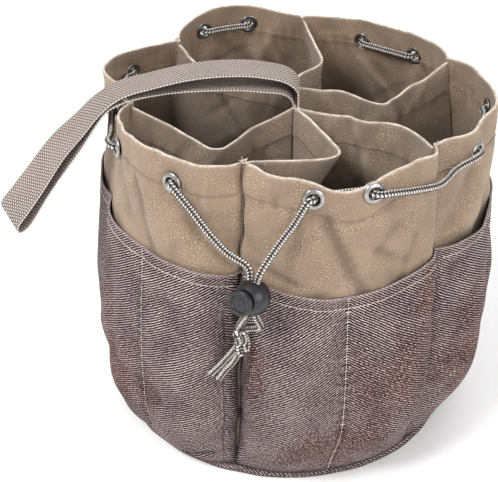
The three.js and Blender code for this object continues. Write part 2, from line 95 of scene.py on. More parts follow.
# Per lobe: the rim's rise and sharpness, the lean outwards, its two eyelets across it and their height.
LOBES = [
    dict(lift=-0.012, sharp=8, out=0, eyelets=(0.335, 0.6), height=0.250),
    dict(lift=0, sharp=2, out=0.005, eyelets=(0.25, 0.68), height=0.247),
    dict(lift=0.001, sharp=2, out=-0.004, eyelets=(0.35, 0.68), height=0.247),
    dict(lift=0.009, sharp=2, out=0.006, eyelets=(0.36, 0.67), height=0.256),
    dict(lift=0, sharp=2, out=0.0095, eyelets=(0.27, 0.8), height=0.246),
    dict(lift=0, sharp=2, out=0.002, eyelets=(0.22, 0.67), height=0.247),
]
# Where the handle lies over the rim, the wall is pushed in near the top, and the rim pressed down.
PRESSED_LOBE = 4
PUSHED = dict(at=0.76, width=0.13, depth=0.020)
PUSHED_RISE = 6
PRESSED = dict(at=0.84, width=0.14, depth=0.009)
POCKET_TOP_AT_SEAM = [0.185, 0.188, 0.190, 0.186, 0.190, 0.190]
POCKET_TOP_LIFT = [-0.010, 0.003, -0.003, -0.003, 0.002, 0.001]

CANVAS = 0.0014
HEM_EXTRA = 0.0008
HEM_DEPTH = 0.023
POCKET_CLOTH = 0.0014
POCKET_GAP = 0.0006


def bell(x, width):
    """1 where x is 0, falling smoothly to 0 over a few widths."""
    return np.exp(-((x / width) ** 2))


def smooth_step(x, low, high):
    t = np.clip((x - low) / (high - low), 0, 1)
    return t * t * (3 - 2 * t)


def seam(k):
    return SEAMS[k % LOBE_COUNT]


def polar(angle, radius, z):
    """Points from angles in degrees, radii and heights."""
    a = np.radians(angle)
    return np.stack(np.broadcast_arrays(radius * np.cos(a), radius * np.sin(a), z), -1)


def seam_angle(k, z):
    share = np.maximum(np.asarray(z, float), 0) / RIM
    return -90 + 360 / LOBE_COUNT * k + seam(k)["turn"] * share**1.5


def round_radius(z):
    low = BELLY_RADIUS - (BELLY_RADIUS - BASE_RADIUS) * (1 - z / BELLY_HEIGHT) ** 2
    high = BELLY_RADIUS - (BELLY_RADIUS - RIM_RADIUS) * ((z - BELLY_HEIGHT) / (RIM - BELLY_HEIGHT)) ** 2
    return np.where(z < BELLY_HEIGHT, low, high)


def under_strap(k, u, dent):
    return dent["depth"] * bell(u - dent["at"], dent["width"]) if k == PRESSED_LOBE else 0 * u


def wall_at(k, u, z):
    """Angle in degrees and radius of the smooth outer face in lobe k, u from one seam to the next."""
    start, end = seam_angle(k, z), seam_angle(k + 1, z)
    height = np.maximum(z, 0) / RIM
    from_left, from_right = u * (end - start), (1 - u) * (end - start)
    a, b = seam(k), seam(k + 1)
    pull = np.where(
        u < 0.5,
        a["depth"] * height ** a["rise"] * np.clip(1 - from_left / a["after"], 0, 1) ** 2,
        b["depth"] * height ** b["rise"] * np.clip(1 - from_right / b["before"], 0, 1) ** 2,
    )
    lean = LOBES[k]["out"] * np.sin(np.pi * u) ** 2 * height**2
    dent = under_strap(k, u, PUSHED) * height**PUSHED_RISE
    return start + (end - start) * u, round_radius(z) - pull + lean - dent


def rim_height(k, u):
    lifted = LOBES[k]["lift"] * np.abs(np.sin(np.pi * u)) ** LOBES[k]["sharp"]
    return RIM + lifted - under_strap(k, u, PRESSED)


def pocket_top(k, u):
    a, b = POCKET_TOP_AT_SEAM[k], POCKET_TOP_AT_SEAM[(k + 1) % LOBE_COUNT]
    return a + (b - a) * u + POCKET_TOP_LIFT[k] * np.sin(np.pi * u) ** 2


# ---- Cloth shapes on top of the smooth wall ----
FOOT_SHIFT = np.array([-0.0038, -0.0012, 0])
FOOT_HEIGHTS = 0.006, 0.070  # the slump is full below the first and gone above the second
LOBE_ARC = 0.150  # width of a lobe along its cloth
TOPSTITCH_DEPTH = 0.009
FOLD_STRENGTH = 1.2


def slumped(points):
    """The bucket stands a little askew on its foot, so its lowest part lies to one side."""
    return points + FOOT_SHIFT * (1 - smooth_step(points[..., 2:], *FOOT_HEIGHTS))


def ripple_field(seed, shortest, longest, steepness, count=9):
    """Soft irregular waves over a flat cloth, as a function of two lengths on it."""
    rng = np.random.default_rng(seed)
    length = rng.uniform(shortest, longest, count)
    heading = rng.uniform(0, np.pi, count)
    phase = rng.uniform(0, 2 * np.pi, count)

    def field(s, t):
        total = 0
        for w, h, p in zip(length, heading, phase):
            total = total + w * np.sin(2 * np.pi * (s * np.cos(h) + t * np.sin(h)) / w + p)
        return total * steepness / math.sqrt(count)

    return field


# Folds drawn on the wall by the cord: lobe, from (u, z), to (u, z), depth, half width.
WALL_FOLDS = [
    (0, (0.38, 0.238), (0.55, 0.182), -0.0034, 0.0044),
    (0, (0.06, 0.196), (0.30, 0.184), -0.0020, 0.0036),
    (5, (0.40, 0.236), (0.56, 0.190), -0.0018, 0.0060),
    (5, (0.74, 0.216), (0.96, 0.190), -0.0022, 0.0040),
    (0, (0.30, 0.240), (0.42, 0.186), 0.0026, 0.0080),
    (0, (0.62, 0.236), (0.58, 0.190), 0.0020, 0.0100),
    (0, (0.02, 0.215), (0.22, 0.184), -0.0022, 0.0080),
    (1, (0.24, 0.236), (0.06, 0.196), -0.0026, 0.0090),
    (1, (0.45, 0.240), (0.20, 0.196), 0.0024, 0.0110),
    (1, (0.66, 0.236), (0.36, 0.190), -0.0024, 0.0100),
    (2, (0.35, 0.236), (0.45, 0.190), -0.0026, 0.0090),
    (2, (0.70, 0.236), (0.62, 0.190), -0.0022, 0.0090),
    (3, (0.36, 0.240), (0.30, 0.190), -0.0026, 0.0090),
    (3, (0.67, 0.240), (0.80, 0.190), -0.0028, 0.0090),
    (4, (0.27, 0.232), (0.40, 0.190), -0.0028, 0.0090),
    (4, (0.60, 0.232), (0.52, 0.190), -0.0024, 0.0090),
    (5, (0.22, 0.236), (0.36, 0.200), -0.0024, 0.0090),
    (5, (0.66, 0.234), (0.86, 0.204), -0.0032, 0.0100),
    (5, (0.50, 0.238), (0.66, 0.196), 0.0022, 0.0120),
]


def fold_relief(folds, k, u, z):
    relief = np.zeros(np.broadcast(u, z).shape)
    for lobe, (u0, z0), (u1, z1), depth, width in folds:
        if lobe != k:
            continue
        ax, ay = u0 * LOBE_ARC, z0
        dx, dy = (u1 - u0) * LOBE_ARC, z1 - z0
        length = math.hypot(dx, dy)
        px, py = u * LOBE_ARC - ax, z - ay
        along = (px * dx + py * dy) / length
        across = (px * dy - py * dx) / length
        fade = smooth_step(along, -0.012, 0.008) * (1 - smooth_step(along, length - 0.010, length + 0.016))
        relief = relief + depth * fade * bell(across, width)
    return relief


def random_folds(lobe, seed, count, low, high, depth, width):
    """Short soft creases and ridges, mostly slanting, spread over a lobe's cloth between two heights."""
    rng = np.random.default_rng(seed)
    folds = []
    for _ in range(count):
        u, z = rng.uniform(0.06, 0.94), rng.uniform(low, high)
        lean, length = rng.normal(0.6, 0.35) * rng.choice([-1, 1]), rng.uniform(0.022, 0.060)
        du, dz = length * math.sin(lean) / LOBE_ARC, -length * math.cos(lean)
        size = rng.uniform(0.35, 1) * rng.choice([-1, -1, 1])
        folds.append((lobe, (u, z), (u + du, z + dz), depth * size, width * rng.uniform(0.6, 1.5)))
    return folds


WALL_RIPPLES = [ripple_field(11 + k, 0.024, 0.085, 0.016) for k in range(LOBE_COUNT)]
POCKET_RIPPLES = [ripple_field(31 + k, 0.020, 0.080, 0.012) for k in range(LOBE_COUNT)]
WALL_CREASES = [
    random_folds(k, 91 + k, 14, 0.180, 0.262, 0.0013, 0.0050)
    + random_folds(k, 191 + k, 12, 0.040, 0.180, 0.0018, 0.0060)
    for k in range(LOBE_COUNT)
]
POCKET_CREASES = [random_folds(k, 291 + k, 14, 0.030, 0.180, 0.0009, 0.0050) for k in range(LOBE_COUNT)]


# How far puckers reach from a line of stitches, how high they are and how far apart.
WALL_HEM_PUCKERS = dict(reach=0.008, height=0.00045, pitch=0.0105)
DIVIDER_HEM_PUCKERS = dict(reach=0.008, height=0.0005, pitch=0.0110)
POCKET_HEM_PUCKERS = dict(reach=0.006, height=0.00018, pitch=0.0085)
POCKET_MIDDLE_PUCKERS = dict(reach=0.007, height=0.0003, pitch=0.0090)


def puckers(along, away, reach, height, pitch):
    """Small regular puckers beside a line of stitches."""
    uneven = 1.7 * np.sin(along / 0.017)
    return height * np.sin(2 * np.pi * along / pitch + uneven) * bell(away, reach)


def near_seam(u, reach):
    """1 on a seam, falling to 0 that far from it along the cloth."""
    return bell(np.minimum(u, 1 - u) * LOBE_ARC, reach)


SEAM_GROOVE = [0.0036, 0.0008, 0.0014, 0.0014, 0.0014, 0.0014]  # how deep each seam shows outside
RIM_WOBBLES = [ripple_field(131 + k, 0.010, 0.045, 0.030) for k in range(LOBE_COUNT)]


def seam_wander(k, u, z):
    """Degrees that the cloth beside a seam strays sideways, as the sewing wavers."""
    k = k + (np.asarray(u) >= 0.5)
    waver = 0.32 * np.sin(z / 0.0085 + k) + 0.22 * np.sin(z / 0.0041 + 2 * k)
    return waver * near_seam(u, 0.016) * smooth_step(z, 0.02, 0.06)


# How far in the pocket cloth is pulled at a seam, and how far to each side of it.
FRONT_GROOVE = dict(depth=0.0048, reach=0.0030)
OTHER_GROOVE = dict(depth=0.0014, reach=0.0020)


def pocket_groove(k, u, z):
    at_front = (k == 0) & (u < 0.5) | (k == LOBE_COUNT - 1) & (u >= 0.5)
    deep = FRONT_GROOVE["depth"] * near_seam(u, FRONT_GROOVE["reach"]) * smooth_step(z, 0.004, 0.020)
    other = OTHER_GROOVE["depth"] * near_seam(u, OTHER_GROOVE["reach"])
    return np.where(at_front, deep, other) * (1 - smooth_step(z, 0.180, 0.192))


def wall_surface(k):
    """The canvas in lobe k: points for u, z and a distance in from its outer face."""

    def surface(u, z, inward=0.0):
        angle, radius = wall_at(k, u, z)
        angle = angle + seam_wander(k, u, z)
        below, along = rim_height(k, u) - z, u * LOBE_ARC
        free = smooth_step(z, 0.03, 0.12) * (1 - near_seam(u, 0.014))
        radius = radius + RIM_WOBBLES[k](along, z * 0.3) * bell(below, 0.016) * (1 - near_seam(u, 0.006))
        radius = radius + WALL_RIPPLES[k](along, z) * free
        radius = radius + FOLD_STRENGTH * fold_relief(WALL_FOLDS, k, u, z)
        radius = radius + np.minimum(fold_relief(POCKET_FOLDS, k, u, z), 0)
        radius = radius + fold_relief(WALL_CREASES[k], k, u, z) * free
        radius = radius + puckers(along, below - HEM_DEPTH, **WALL_HEM_PUCKERS) * free
        groove = np.where(u < 0.5, SEAM_GROOVE[k], SEAM_GROOVE[(k + 1) % LOBE_COUNT])
        radius = radius - np.maximum(groove * near_seam(u, 0.0018), pocket_groove(k, u, z))
        radius = radius - 0.0005 * bell(below - HEM_DEPTH, 0.0016)
        return slumped(polar(angle, radius - inward, z))

    return surface


POCKET_BELLY, POCKET_FLARE = 0.0078, 0.0032  # how far a pocket stands off halfway up, and at its foot
POCKET_SLUMP = [0.001, 0.001, 0.003, 0.004, 0.007, 0.006]  # how far each panel bags out low down


def pocket_stand(k, u, z):
    """How far the pocket cloth stands off the wall: sewn at the seams and halfway between them."""
    top = pocket_top(k, u)
    belly = POCKET_BELLY * smooth_step(z, 0.004, 0.055) * (1 - 0.62 * smooth_step(z, 0.085, 0.170))
    belly = belly * (1 - 0.75 * smooth_step(z, top - 0.045, top - 0.004))
    slump = POCKET_SLUMP[k] * smooth_step(z, 0.002, 0.016) * (1 - smooth_step(z, 0.030, 0.075))
    middle = 0.5 * bell((u - 0.5) * LOBE_ARC, 0.016)
    foot = POCKET_FLARE * (1 - smooth_step(z, 0.004, 0.034))
    return (belly + slump) * (1 - near_seam(u, 0.020)) * (1 - middle) + foot


POCKET_FOLDS = [
    (0, (0.02, 0.150), (0.03, 0.030), -0.0050, 0.0045),
    (0, (0.10, 0.168), (0.09, 0.030), 0.0030, 0.0070),
    (5, (0.90, 0.150), (0.92, 0.020), 0.0022, 0.0050),
    (0, (0.60, 0.150), (0.70, 0.060), -0.0020, 0.0100),
    (1, (0.10, 0.170), (0.18, 0.080), -0.0026, 0.0080),
    (1, (0.02, 0.165), (0.06, 0.090), 0.0022, 0.0070),
    (5, (0.20, 0.170), (0.28, 0.070), -0.0018, 0.0090),
    (5, (0.70, 0.160), (0.62, 0.060), -0.0016, 0.0100),
    (1, (0.05, 0.186), (0.30, 0.189), 0.0042, 0.0130),
    (5, (0.66, 0.006), (0.90, 0.024), -0.0026, 0.0026),
    (5, (0.70, 0.001), (0.94, 0.016), 0.0016, 0.0040),
    (2, (0.30, 0.160), (0.22, 0.060), -0.0020, 0.0090),
    (3, (0.70, 0.160), (0.78, 0.060), -0.0020, 0.0090),
    (4, (0.30, 0.160), (0.24, 0.060), -0.0020, 0.0090),
]


def pocket_surface(k):
    """The outside pocket cloth in lobe k: points for u, z and a distance in from its outer face."""

    def surface(u, z, inward=0.0):
        angle, radius = wall_at(k, u, z)
        angle = angle + seam_wander(k, u, z)
        along, off_middle, below = u * LOBE_ARC, np.abs(u - 0.5) * LOBE_ARC, pocket_top(k, u) - z
        free = smooth_step(z, 0.004, 0.04) * (1 - near_seam(u, 0.012)) * (1 - bell(off_middle, 0.009))
        radius = radius + (0.00055 + POCKET_RIPPLES[k](along, z)) * free
        radius = radius + np.maximum(fold_relief(POCKET_CREASES[k], k, u, z), -0.0009) * free
        radius = radius + puckers(along, below - TOPSTITCH_DEPTH, **POCKET_HEM_PUCKERS) * free
        radius = radius + 0.0003 + puckers(z, off_middle, **POCKET_MIDDLE_PUCKERS)
        radius = radius + fold_relief(POCKET_FOLDS, k, u, z)
        radius = radius + FOLD_STRENGTH * np.maximum(fold_relief(WALL_FOLDS, k, u, z), 0)
        stand = POCKET_GAP + POCKET_CLOTH + pocket_stand(k, u, z)
        dent = 0.0005 * bell(below - TOPSTITCH_DEPTH, 0.0013) + 0.0008 * bell(off_middle, 0.0018)
        return slumped(polar(angle, radius + stand - dent - pocket_groove(k, u, z) - inward, z))

    return surface


# ---- Mesh helpers ----
def new_object(name, points, faces, body, material, lay=None, tone=None, **shades):
    """A mesh object on a body. lay is its place on the flat cloth; tone and shades are named shares."""
    mesh = bpy.data.meshes.new(name)
    mesh.from_pydata(np.asarray(points, float).tolist(), [], faces)
    mesh.validate()
    mesh.polygons.foreach_set("use_smooth", np.ones(len(mesh.polygons), bool))
    if lay is not None:
        mesh.attributes.new("lay", "FLOAT_VECTOR", "POINT").data.foreach_set(
            "vector", np.asarray(lay, np.float32).ravel()
        )
    if tone is not None:
        shades["tone"] = tone
    for shade, values in shades.items():
        mesh.attributes.new(shade, "FLOAT", "POINT").data.foreach_set(
            "value", np.asarray(values, np.float32).ravel()
        )
    mesh.update()
    obj = bpy.data.objects.new(name, mesh)
    bpy.context.scene.collection.objects.link(obj)
    obj.data.materials.append(material)
    if body:
        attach(obj, body)
    return obj


def hollows(grid, reach, depth):
    """1 in a valley of that depth on a grid of points and -1 on a ridge, judged by the points around."""
    along, up = np.gradient(grid, axis=1), np.gradient(grid, axis=0)
    normal = np.cross(along, up)
    normal /= np.linalg.norm(normal, axis=-1, keepdims=True)
    wide = np.pad(grid, ((reach, reach), (reach, reach), (0, 0)), mode="reflect", reflect_type="odd")
    inner, before, after = slice(reach, -reach), slice(0, -2 * reach), slice(2 * reach, None)
    around = (wide[before, inner] + wide[after, inner] + wide[inner, before] + wide[inner, after]) / 4
    return np.clip(((around - grid) * normal).sum(-1) / depth, -1, 1)


def edge_rows(length, step, half):
    """Distances from a rounded edge to the far end: close together round the edge, then evenly."""
    bend = half * (1 - np.sin(np.radians([90, 65, 42, 22, 5])))
    rows = np.concatenate([bend, np.arange(half * 1.3, length, step)])
    return np.append(rows[rows < length - step / 3], length)


def edge_draw(distance, half):
    """How far each face is drawn in towards the middle of the cloth at a rounded edge."""
    x = np.clip(1 - distance / half, 0, 1)
    return half * (1 - np.sqrt(1 - x * x))


def sheet_mesh(front, back, keep=None):
    """Points and faces of a closed cloth from two grids of points, with holes where keep is False."""
    rows, columns = front.shape[:2]
    points = np.concatenate([front.reshape(-1, 3), back.reshape(-1, 3)])
    layer = rows * columns
    keep = np.ones((rows - 1, columns - 1), bool) if keep is None else keep
    index = np.arange(layer).reshape(rows, columns)
    a, b = index[:-1, :-1], index[:-1, 1:]
    c, d = index[1:, 1:], index[1:, :-1]
    quads = np.stack([a, b, c, d], -1)[keep]
    faces = [quads, quads[:, ::-1] + layer]
    padded = np.pad(keep, 1)
    inside = padded[1:-1, 1:-1]
    for (p, q), outside in (
        ((a, b), padded[:-2, 1:-1]),
        ((b, c), padded[1:-1, 2:]),
        ((c, d), padded[2:, 1:-1]),
        ((d, a), padded[1:-1, :-2]),
    ):
        edge = inside & ~outside
        p, q = p[edge], q[edge]
        faces.append(np.stack([q, p, p + layer, q + layer], -1))
    faces = np.concatenate(faces)
    used = np.unique(faces)
    renumber = np.full(len(points), -1)
    renumber[used] = np.arange(len(used))
    return points[used], renumber[faces].tolist(), used


def cloth(name, node, slot_name, material, front, back, lay, tone, keep=None, **shades):
    """A closed cloth on the bag. A shade is one grid for both faces, or a pair of them."""
    points, faces, used = sheet_mesh(front, back, keep)

    def both(values):
        pair = values if isinstance(values, tuple) else (values, values)
        return np.concatenate([np.ravel(v) for v in pair])[used]

    lay = np.stack(np.broadcast_arrays(*lay), -1).reshape(-1, 3)
    shades = {shade: both(values) for shade, values in shades.items()}
    obj = new_object(name, points, faces, "bag", material, np.tile(lay, (2, 1))[used], both(tone), **shades)
    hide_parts(node)
    return obj


def sunk_and_raised(sunk):
    """The shares of painted shade in hollows and painted highlight on ridges, for a cloth whose inner face
    is the opposite of its outer one.
    """
    low, high = np.maximum(sunk, 0), np.maximum(-sunk, 0)
    return dict(hollow=(low, high), ridge=(high, low))


def bar_faces(count, sides):
    """Quads and end faces of a closed bar made of that many rings."""
    index = np.arange(count * sides).reshape(count, sides)
    nxt = np.roll(index, -1, axis=1)
    quads = np.stack([index[:-1], nxt[:-1], nxt[1:], index[1:]], -1).reshape(-1, 4).tolist()
    return [*quads, index[0][::-1].tolist(), index[-1].tolist()]


def ring_faces(shape, first):
    """Quads of a grid that closes on itself both ways; first is the axis each quad starts along."""
    index = np.arange(shape[0] * shape[1]).reshape(shape)
    nxt, above = np.roll(index, -1, axis=first), np.roll(index, -1, axis=1 - first)
    both = np.roll(nxt, -1, axis=1 - first)
    return np.stack([index, nxt, both, above], -1).reshape(-1, 4).tolist()


def tube_mesh(centres, radii, sides):
    """A closed round bar along the centres. radii has a row for each centre and a column for each side."""
    centres = np.asarray(centres, float)
    way = np.gradient(centres, axis=0)
    way /= np.linalg.norm(way, axis=1)[:, None]
    normal = np.zeros_like(way)
    first = UP if abs(way[0, 2]) < 0.9 else np.array([1.0, 0, 0])
    normal[0] = first - way[0] * first.dot(way[0])
    normal[0] /= np.linalg.norm(normal[0])
    for i in range(1, len(way)):
        n = normal[i - 1] - way[i] * normal[i - 1].dot(way[i])
        normal[i] = n / np.linalg.norm(n)
    side = np.cross(way, normal)
    a = 2 * np.pi * np.arange(sides) / sides
    ring = normal[:, None] * np.cos(a)[None, :, None] + side[:, None] * np.sin(a)[None, :, None]
    points = centres[:, None] + ring * radii[:, :, None]
    return points.reshape(-1, 3), bar_faces(len(centres), sides)


def through(points, steps):
    """A centripetal Catmull-Rom line through the points, with that many steps between two of them."""
    p = [np.array(q, float) for q in points]
    p = [2 * p[0] - p[1], *p, 2 * p[-1] - p[-2]]
    line = []
    for p0, p1, p2, p3 in zip(p, p[1:], p[2:], p[3:]):
        t0, t1 = 0.0, math.sqrt(np.linalg.norm(p1 - p0))
        t2 = t1 + math.sqrt(np.linalg.norm(p2 - p1))
        t3 = t2 + math.sqrt(np.linalg.norm(p3 - p2))
        for i in range(steps):
            t = t1 + (t2 - t1) * i / steps
            a1 = (t1 - t) / (t1 - t0) * p0 + (t - t0) / (t1 - t0) * p1
            a2 = (t2 - t) / (t2 - t1) * p1 + (t - t1) / (t2 - t1) * p2
            a3 = (t3 - t) / (t3 - t2) * p2 + (t - t2) / (t3 - t2) * p3
            b1 = (t2 - t) / (t2 - t0) * a1 + (t - t0) / (t2 - t0) * a2
            b2 = (t3 - t) / (t3 - t1) * a2 + (t - t1) / (t3 - t1) * a3
            line.append((t2 - t) / (t2 - t1) * b1 + (t - t1) / (t2 - t1) * b2)
    return np.array([*line, p[-2]])


def run_lengths(line):
    return np.concatenate([[0], np.cumsum(np.linalg.norm(np.diff(line, axis=0), axis=1))])


def sampled(at, s, values):
    """The values, one row for each length s along a line, at other lengths."""
    return np.stack([np.interp(at, s, values[:, i]) for i in range(3)], -1)


def evenly(line, step):
    """The same line with its points that far apart."""
    s = run_lengths(line)
    return sampled(np.linspace(0, s[-1], max(2, int(round(s[-1] / step)) + 1)), s, line)


def lathe_mesh(profile, sides):
    """Points and faces turned round the Z axis. The profile is a closed loop of (radius, height)."""
    a = 2 * np.pi * np.arange(sides) / sides
    rings = [np.stack([r * np.cos(a), r * np.sin(a), np.full(sides, h)], -1) for r, h in profile]
    return np.concatenate(rings), ring_faces((len(profile), sides), 1)


def placed(points, centre, x, y, z):
    return np.asarray(points) @ np.array([x, y, z], float) + np.asarray(centre, float)


def joined(parts):
    """Points and faces of several meshes as one."""
    points, faces, total = [], [], 0
    for p, f in parts:
        points.append(p)
        faces += [[i + total for i in face] for face in f]
        total += len(p)
    return np.concatenate(points), faces


def edited(obj, change):
    data = bmesh.new()
    data.from_mesh(obj.data)
    change(data)
    data.to_mesh(obj.data)
    data.free()


def weld(obj, distance):
    """Merges points that lie on each other, where a grid closes on itself."""
    edited(obj, lambda data: bmesh.ops.remove_doubles(data, verts=data.verts, dist=distance))


def face_out(obj):
    edited(obj, lambda data: bmesh.ops.recalc_face_normals(data, faces=data.faces))


def arc(centre, radius, start, end, count):
    """Points of a profile on an arc, from one angle in degrees to another."""
    a = np.radians(np.linspace(start, end, count))
    return [(centre[0] + radius * math.cos(x), centre[1] + radius * math.sin(x)) for x in a]


# ---- Materials ----
class Nodes:
    """A material's node tree, with short calls to add to it."""

    def __init__(self, name, roughness, specular, metallic=0.0, base=(0.5, 0.5, 0.5)):
        self.material = bpy.data.materials.new(name)
        self.material.use_nodes = True
        self.tree = self.material.node_tree
        self.shader = self.tree.nodes["Principled BSDF"]
        self.shader.inputs["Roughness"].default_value = roughness
        self.shader.inputs["Metallic"].default_value = metallic
        self.shader.inputs["Base Color"].default_value = (*base, 1)
        self.shader.inputs["Specular IOR Level"].default_value = specular

    def add(self, kind, values=None, **settings):
        node = self.tree.nodes.new(kind)
        for key, value in settings.items():
            setattr(node, key, value)
        for key, value in (values or {}).items():
            self.put(node.inputs[key], value)
        return node

    def put(self, socket, value):
        if isinstance(value, bpy.types.NodeSocket):
            self.tree.links.new(value, socket)
        else:
            socket.default_value = value

    def math(self, operation, a, b=0.0, c=0.0):
        node = self.add("ShaderNodeMath", operation=operation)
        for socket, value in zip(node.inputs, (a, b, c)):
            self.put(socket, value)
        return node.outputs[0]

    def lay(self):
        return self.add("ShaderNodeAttribute", attribute_name="lay").outputs["Vector"]

    def share(self, name):
        return self.add("ShaderNodeAttribute", attribute_name=name).outputs["Fac"]

    def noise(self, vector, scale, detail=2.0, roughness=0.5):
        node = self.add(
            "ShaderNodeTexNoise",
            {"Vector": vector, "Scale": scale, "Detail": detail, "Roughness": roughness},
        )
        return node.outputs[0]

    def stretched(self, vector, scale):
        return self.add("ShaderNodeVectorMath", {0: vector, 1: scale}, operation="MULTIPLY").outputs[0]

    def ramp(self, value, stops):
        node = self.add("ShaderNodeValToRGB", {0: value})
        stops = [(p, (*c, 1)) for p, c in stops]
        ramp = node.color_ramp
        ramp.elements[0].position, ramp.elements[0].color = stops[0]
        ramp.elements[1].position, ramp.elements[1].color = stops[-1]
        for position, colour in stops[1:-1]:
            ramp.elements.new(position).color = colour
        return node.outputs[0]

    def fade(self, value, low, high, top=1.0, bottom=0.0):
        """Turns a value between low and high into a share from bottom to top."""
        return self.ramp(value, [(low, (bottom,) * 3), (high, (top,) * 3)])

    def mix(self, share, a, b):
        """Colour a, with a share of colour b over it."""
        node = self.add("ShaderNodeMix", data_type="RGBA")
        for socket, value in ((0, share), (6, a), (7, b)):
            self.put(node.inputs[socket], (*value, 1) if isinstance(value, tuple) else value)
        return node.outputs[2]

    def bump(self, height, distance, strength, before=None):
        values = {"Height": height, "Distance": distance, "Strength": strength}
        if before is not None:
            values["Normal"] = before
        return self.add("ShaderNodeBump", values).outputs[0]

    def finish(self, colour=None, normal=None, roughness=None):
        for name, value in (("Base Color", colour), ("Normal", normal), ("Roughness", roughness)):
            if value is not None:
                self.put(self.shader.inputs[name], value)
        return self.material


CANVAS_THREAD = 0.0011


def canvas_material(name, light, dark):
    """Plain-weave canvas: fine threads, slubs, soft blotches, painted highlight on fold ridges and cut
    edges, and painted shade in creases and deeper inside.
    """
    n = Nodes(name, 0.93, 0.2)
    lay = n.lay()
    split = n.add("ShaderNodeSeparateXYZ", {0: lay})
    thread = 2 * math.pi / CANVAS_THREAD
    warp = n.math("SINE", n.math("MULTIPLY", split.outputs[0], thread))
    weft = n.math("SINE", n.math("MULTIPLY", split.outputs[1], thread))
    slub = n.noise(n.stretched(lay, (1, 5, 1)), 260, 2)
    fleck = n.noise(lay, 900, 2, 0.7)
    between = tuple((a + b) / 2 for a, b in zip(light, dark))
    tint = n.ramp(n.noise(lay, 30, 4, 0.6), [(0.32, dark), (0.5, between), (0.68, light)])
    clusters = n.fade(n.noise(lay, 55, 3), 0.42, 0.60, 1, 0.10)
    broken = n.fade(n.noise(n.stretched(lay, (1, 4, 1)), 210, 3, 0.7), 0.36, 0.62, 1, 0.25)
    for share, colour in (
        (n.math("MULTIPLY", n.fade(fleck, 0.32, 0.43, 0, 0.85), clusters), (0.050, 0.030, 0.020)),  # specks
        (n.math("MULTIPLY", n.fade(fleck, 0.56, 0.66, 0.80), clusters), (0.66, 0.52, 0.36)),  # glints
        # Painted shade: the canvas is darkened where its cloth lies in a crease or hollow, from its shape.
        (n.fade(n.share("hollow"), 0, 1, 0.72), (0.040, 0.024, 0.018)),
        # Painted shade inside the bucket, darker the deeper down.
        (n.math("MULTIPLY", n.share("soil"), 0.62), (0.060, 0.043, 0.034)),
        # Painted highlight: the canvas is lightened on the ridges of its folds, from its shape.
        (n.fade(n.share("ridge"), 0.1, 1, 0.42), (0.50, 0.40, 0.31)),
        (n.fade(slub, 0.5, 0.8, 0.22), (0.42, 0.32, 0.24)),
        (n.math("MULTIPLY", n.share("tone"), broken), (0.66, 0.57, 0.48)),  # painted highlight along the cut edges, broken up by noise
    ):
        tint = n.mix(share, tint, colour)
    normal = n.bump(slub, 0.0004, 0.35, n.bump(n.math("MULTIPLY", warp, weft), 0.00016, 0.7))
    n.shader.inputs["Sheen Weight"].default_value = 0.15
    n.shader.inputs["Sheen Roughness"].default_value = 0.6
    return n.finish(tint, normal)


TWILL_PITCH = 0.0021  # up the cloth, from one diagonal ridge to the next
TWILL_SLOPE = 0.69
TWILL_LEVELS = 0.30, 0.50, 0.66, 0.86
TWILL_PLAIN = (0.006, 0.003, 0.004), (0.042, 0.024, 0.026), (0.245, 0.176, 0.178), (0.66, 0.56, 0.54)
TWILL_RED = (0.012, 0.005, 0.005), (0.080, 0.038, 0.037), (0.255, 0.158, 0.145), (0.62, 0.48, 0.43)


def twill_material():
    """Brown twill: diagonal ridges of pale thread over dark red-brown, broken up by flecks."""
    n = Nodes("pocket_twill", 0.9, 0.2)
    lay = n.lay()
    split = n.add("ShaderNodeSeparateXYZ", {0: lay})
    jitter = n.math("MULTIPLY", n.noise(lay, 300, 2), 0.0013)
    across = n.math("MULTIPLY", split.outputs[0], TWILL_SLOPE)
    slant = n.math("ADD", n.math("ADD", across, split.outputs[1]), jitter)
    ridge = n.math("SINE", n.math("MULTIPLY", slant, 2 * math.pi / TWILL_PITCH))
    ridge = n.math("MULTIPLY_ADD", ridge, 0.5, 0.5)
    yarn = n.noise(lay, 640, 2, 0.7)
    shade = n.math("MULTIPLY_ADD", n.noise(lay, 38, 3), 0.22, -0.13)
    mottle = n.math("MULTIPLY_ADD", n.noise(lay, 60, 4, 0.65), 2.0, -1.10)
    red = n.fade(n.math("ADD", n.share("patch"), mottle), 0.25, 0.95)
    stripes = n.math("MULTIPLY_ADD", red, -0.24, 0.58)
    flecks = n.math("MULTIPLY_ADD", red, 0.75, 0.75)
    level = n.math("MULTIPLY", n.math("ADD", ridge, -0.5), stripes)
    level = n.math("ADD", level, n.math("MULTIPLY", n.math("ADD", yarn, -0.5), flecks))
    level = n.math("ADD", n.math("ADD", level, shade), 0.5)
    plain, ruddy = (n.ramp(level, zip(TWILL_LEVELS, colours)) for colours in (TWILL_PLAIN, TWILL_RED))
    tint = n.mix(red, plain, ruddy)
    # Painted shade in the creases, the front seam, the gap above the binding and under the binding's roll.
    tint = n.mix(n.fade(n.share("hollow"), 0, 1, 0.8), tint, (0.006, 0.004, 0.005))
    # Painted highlight along the pocket cloth's top edge.
    tint = n.mix(n.math("MULTIPLY", n.share("tone"), 0.4), tint, (0.50, 0.42, 0.40))
    return n.finish(tint, n.bump(yarn, 0.0004, 0.35, n.bump(ridge, 0.00035, 0.8)))


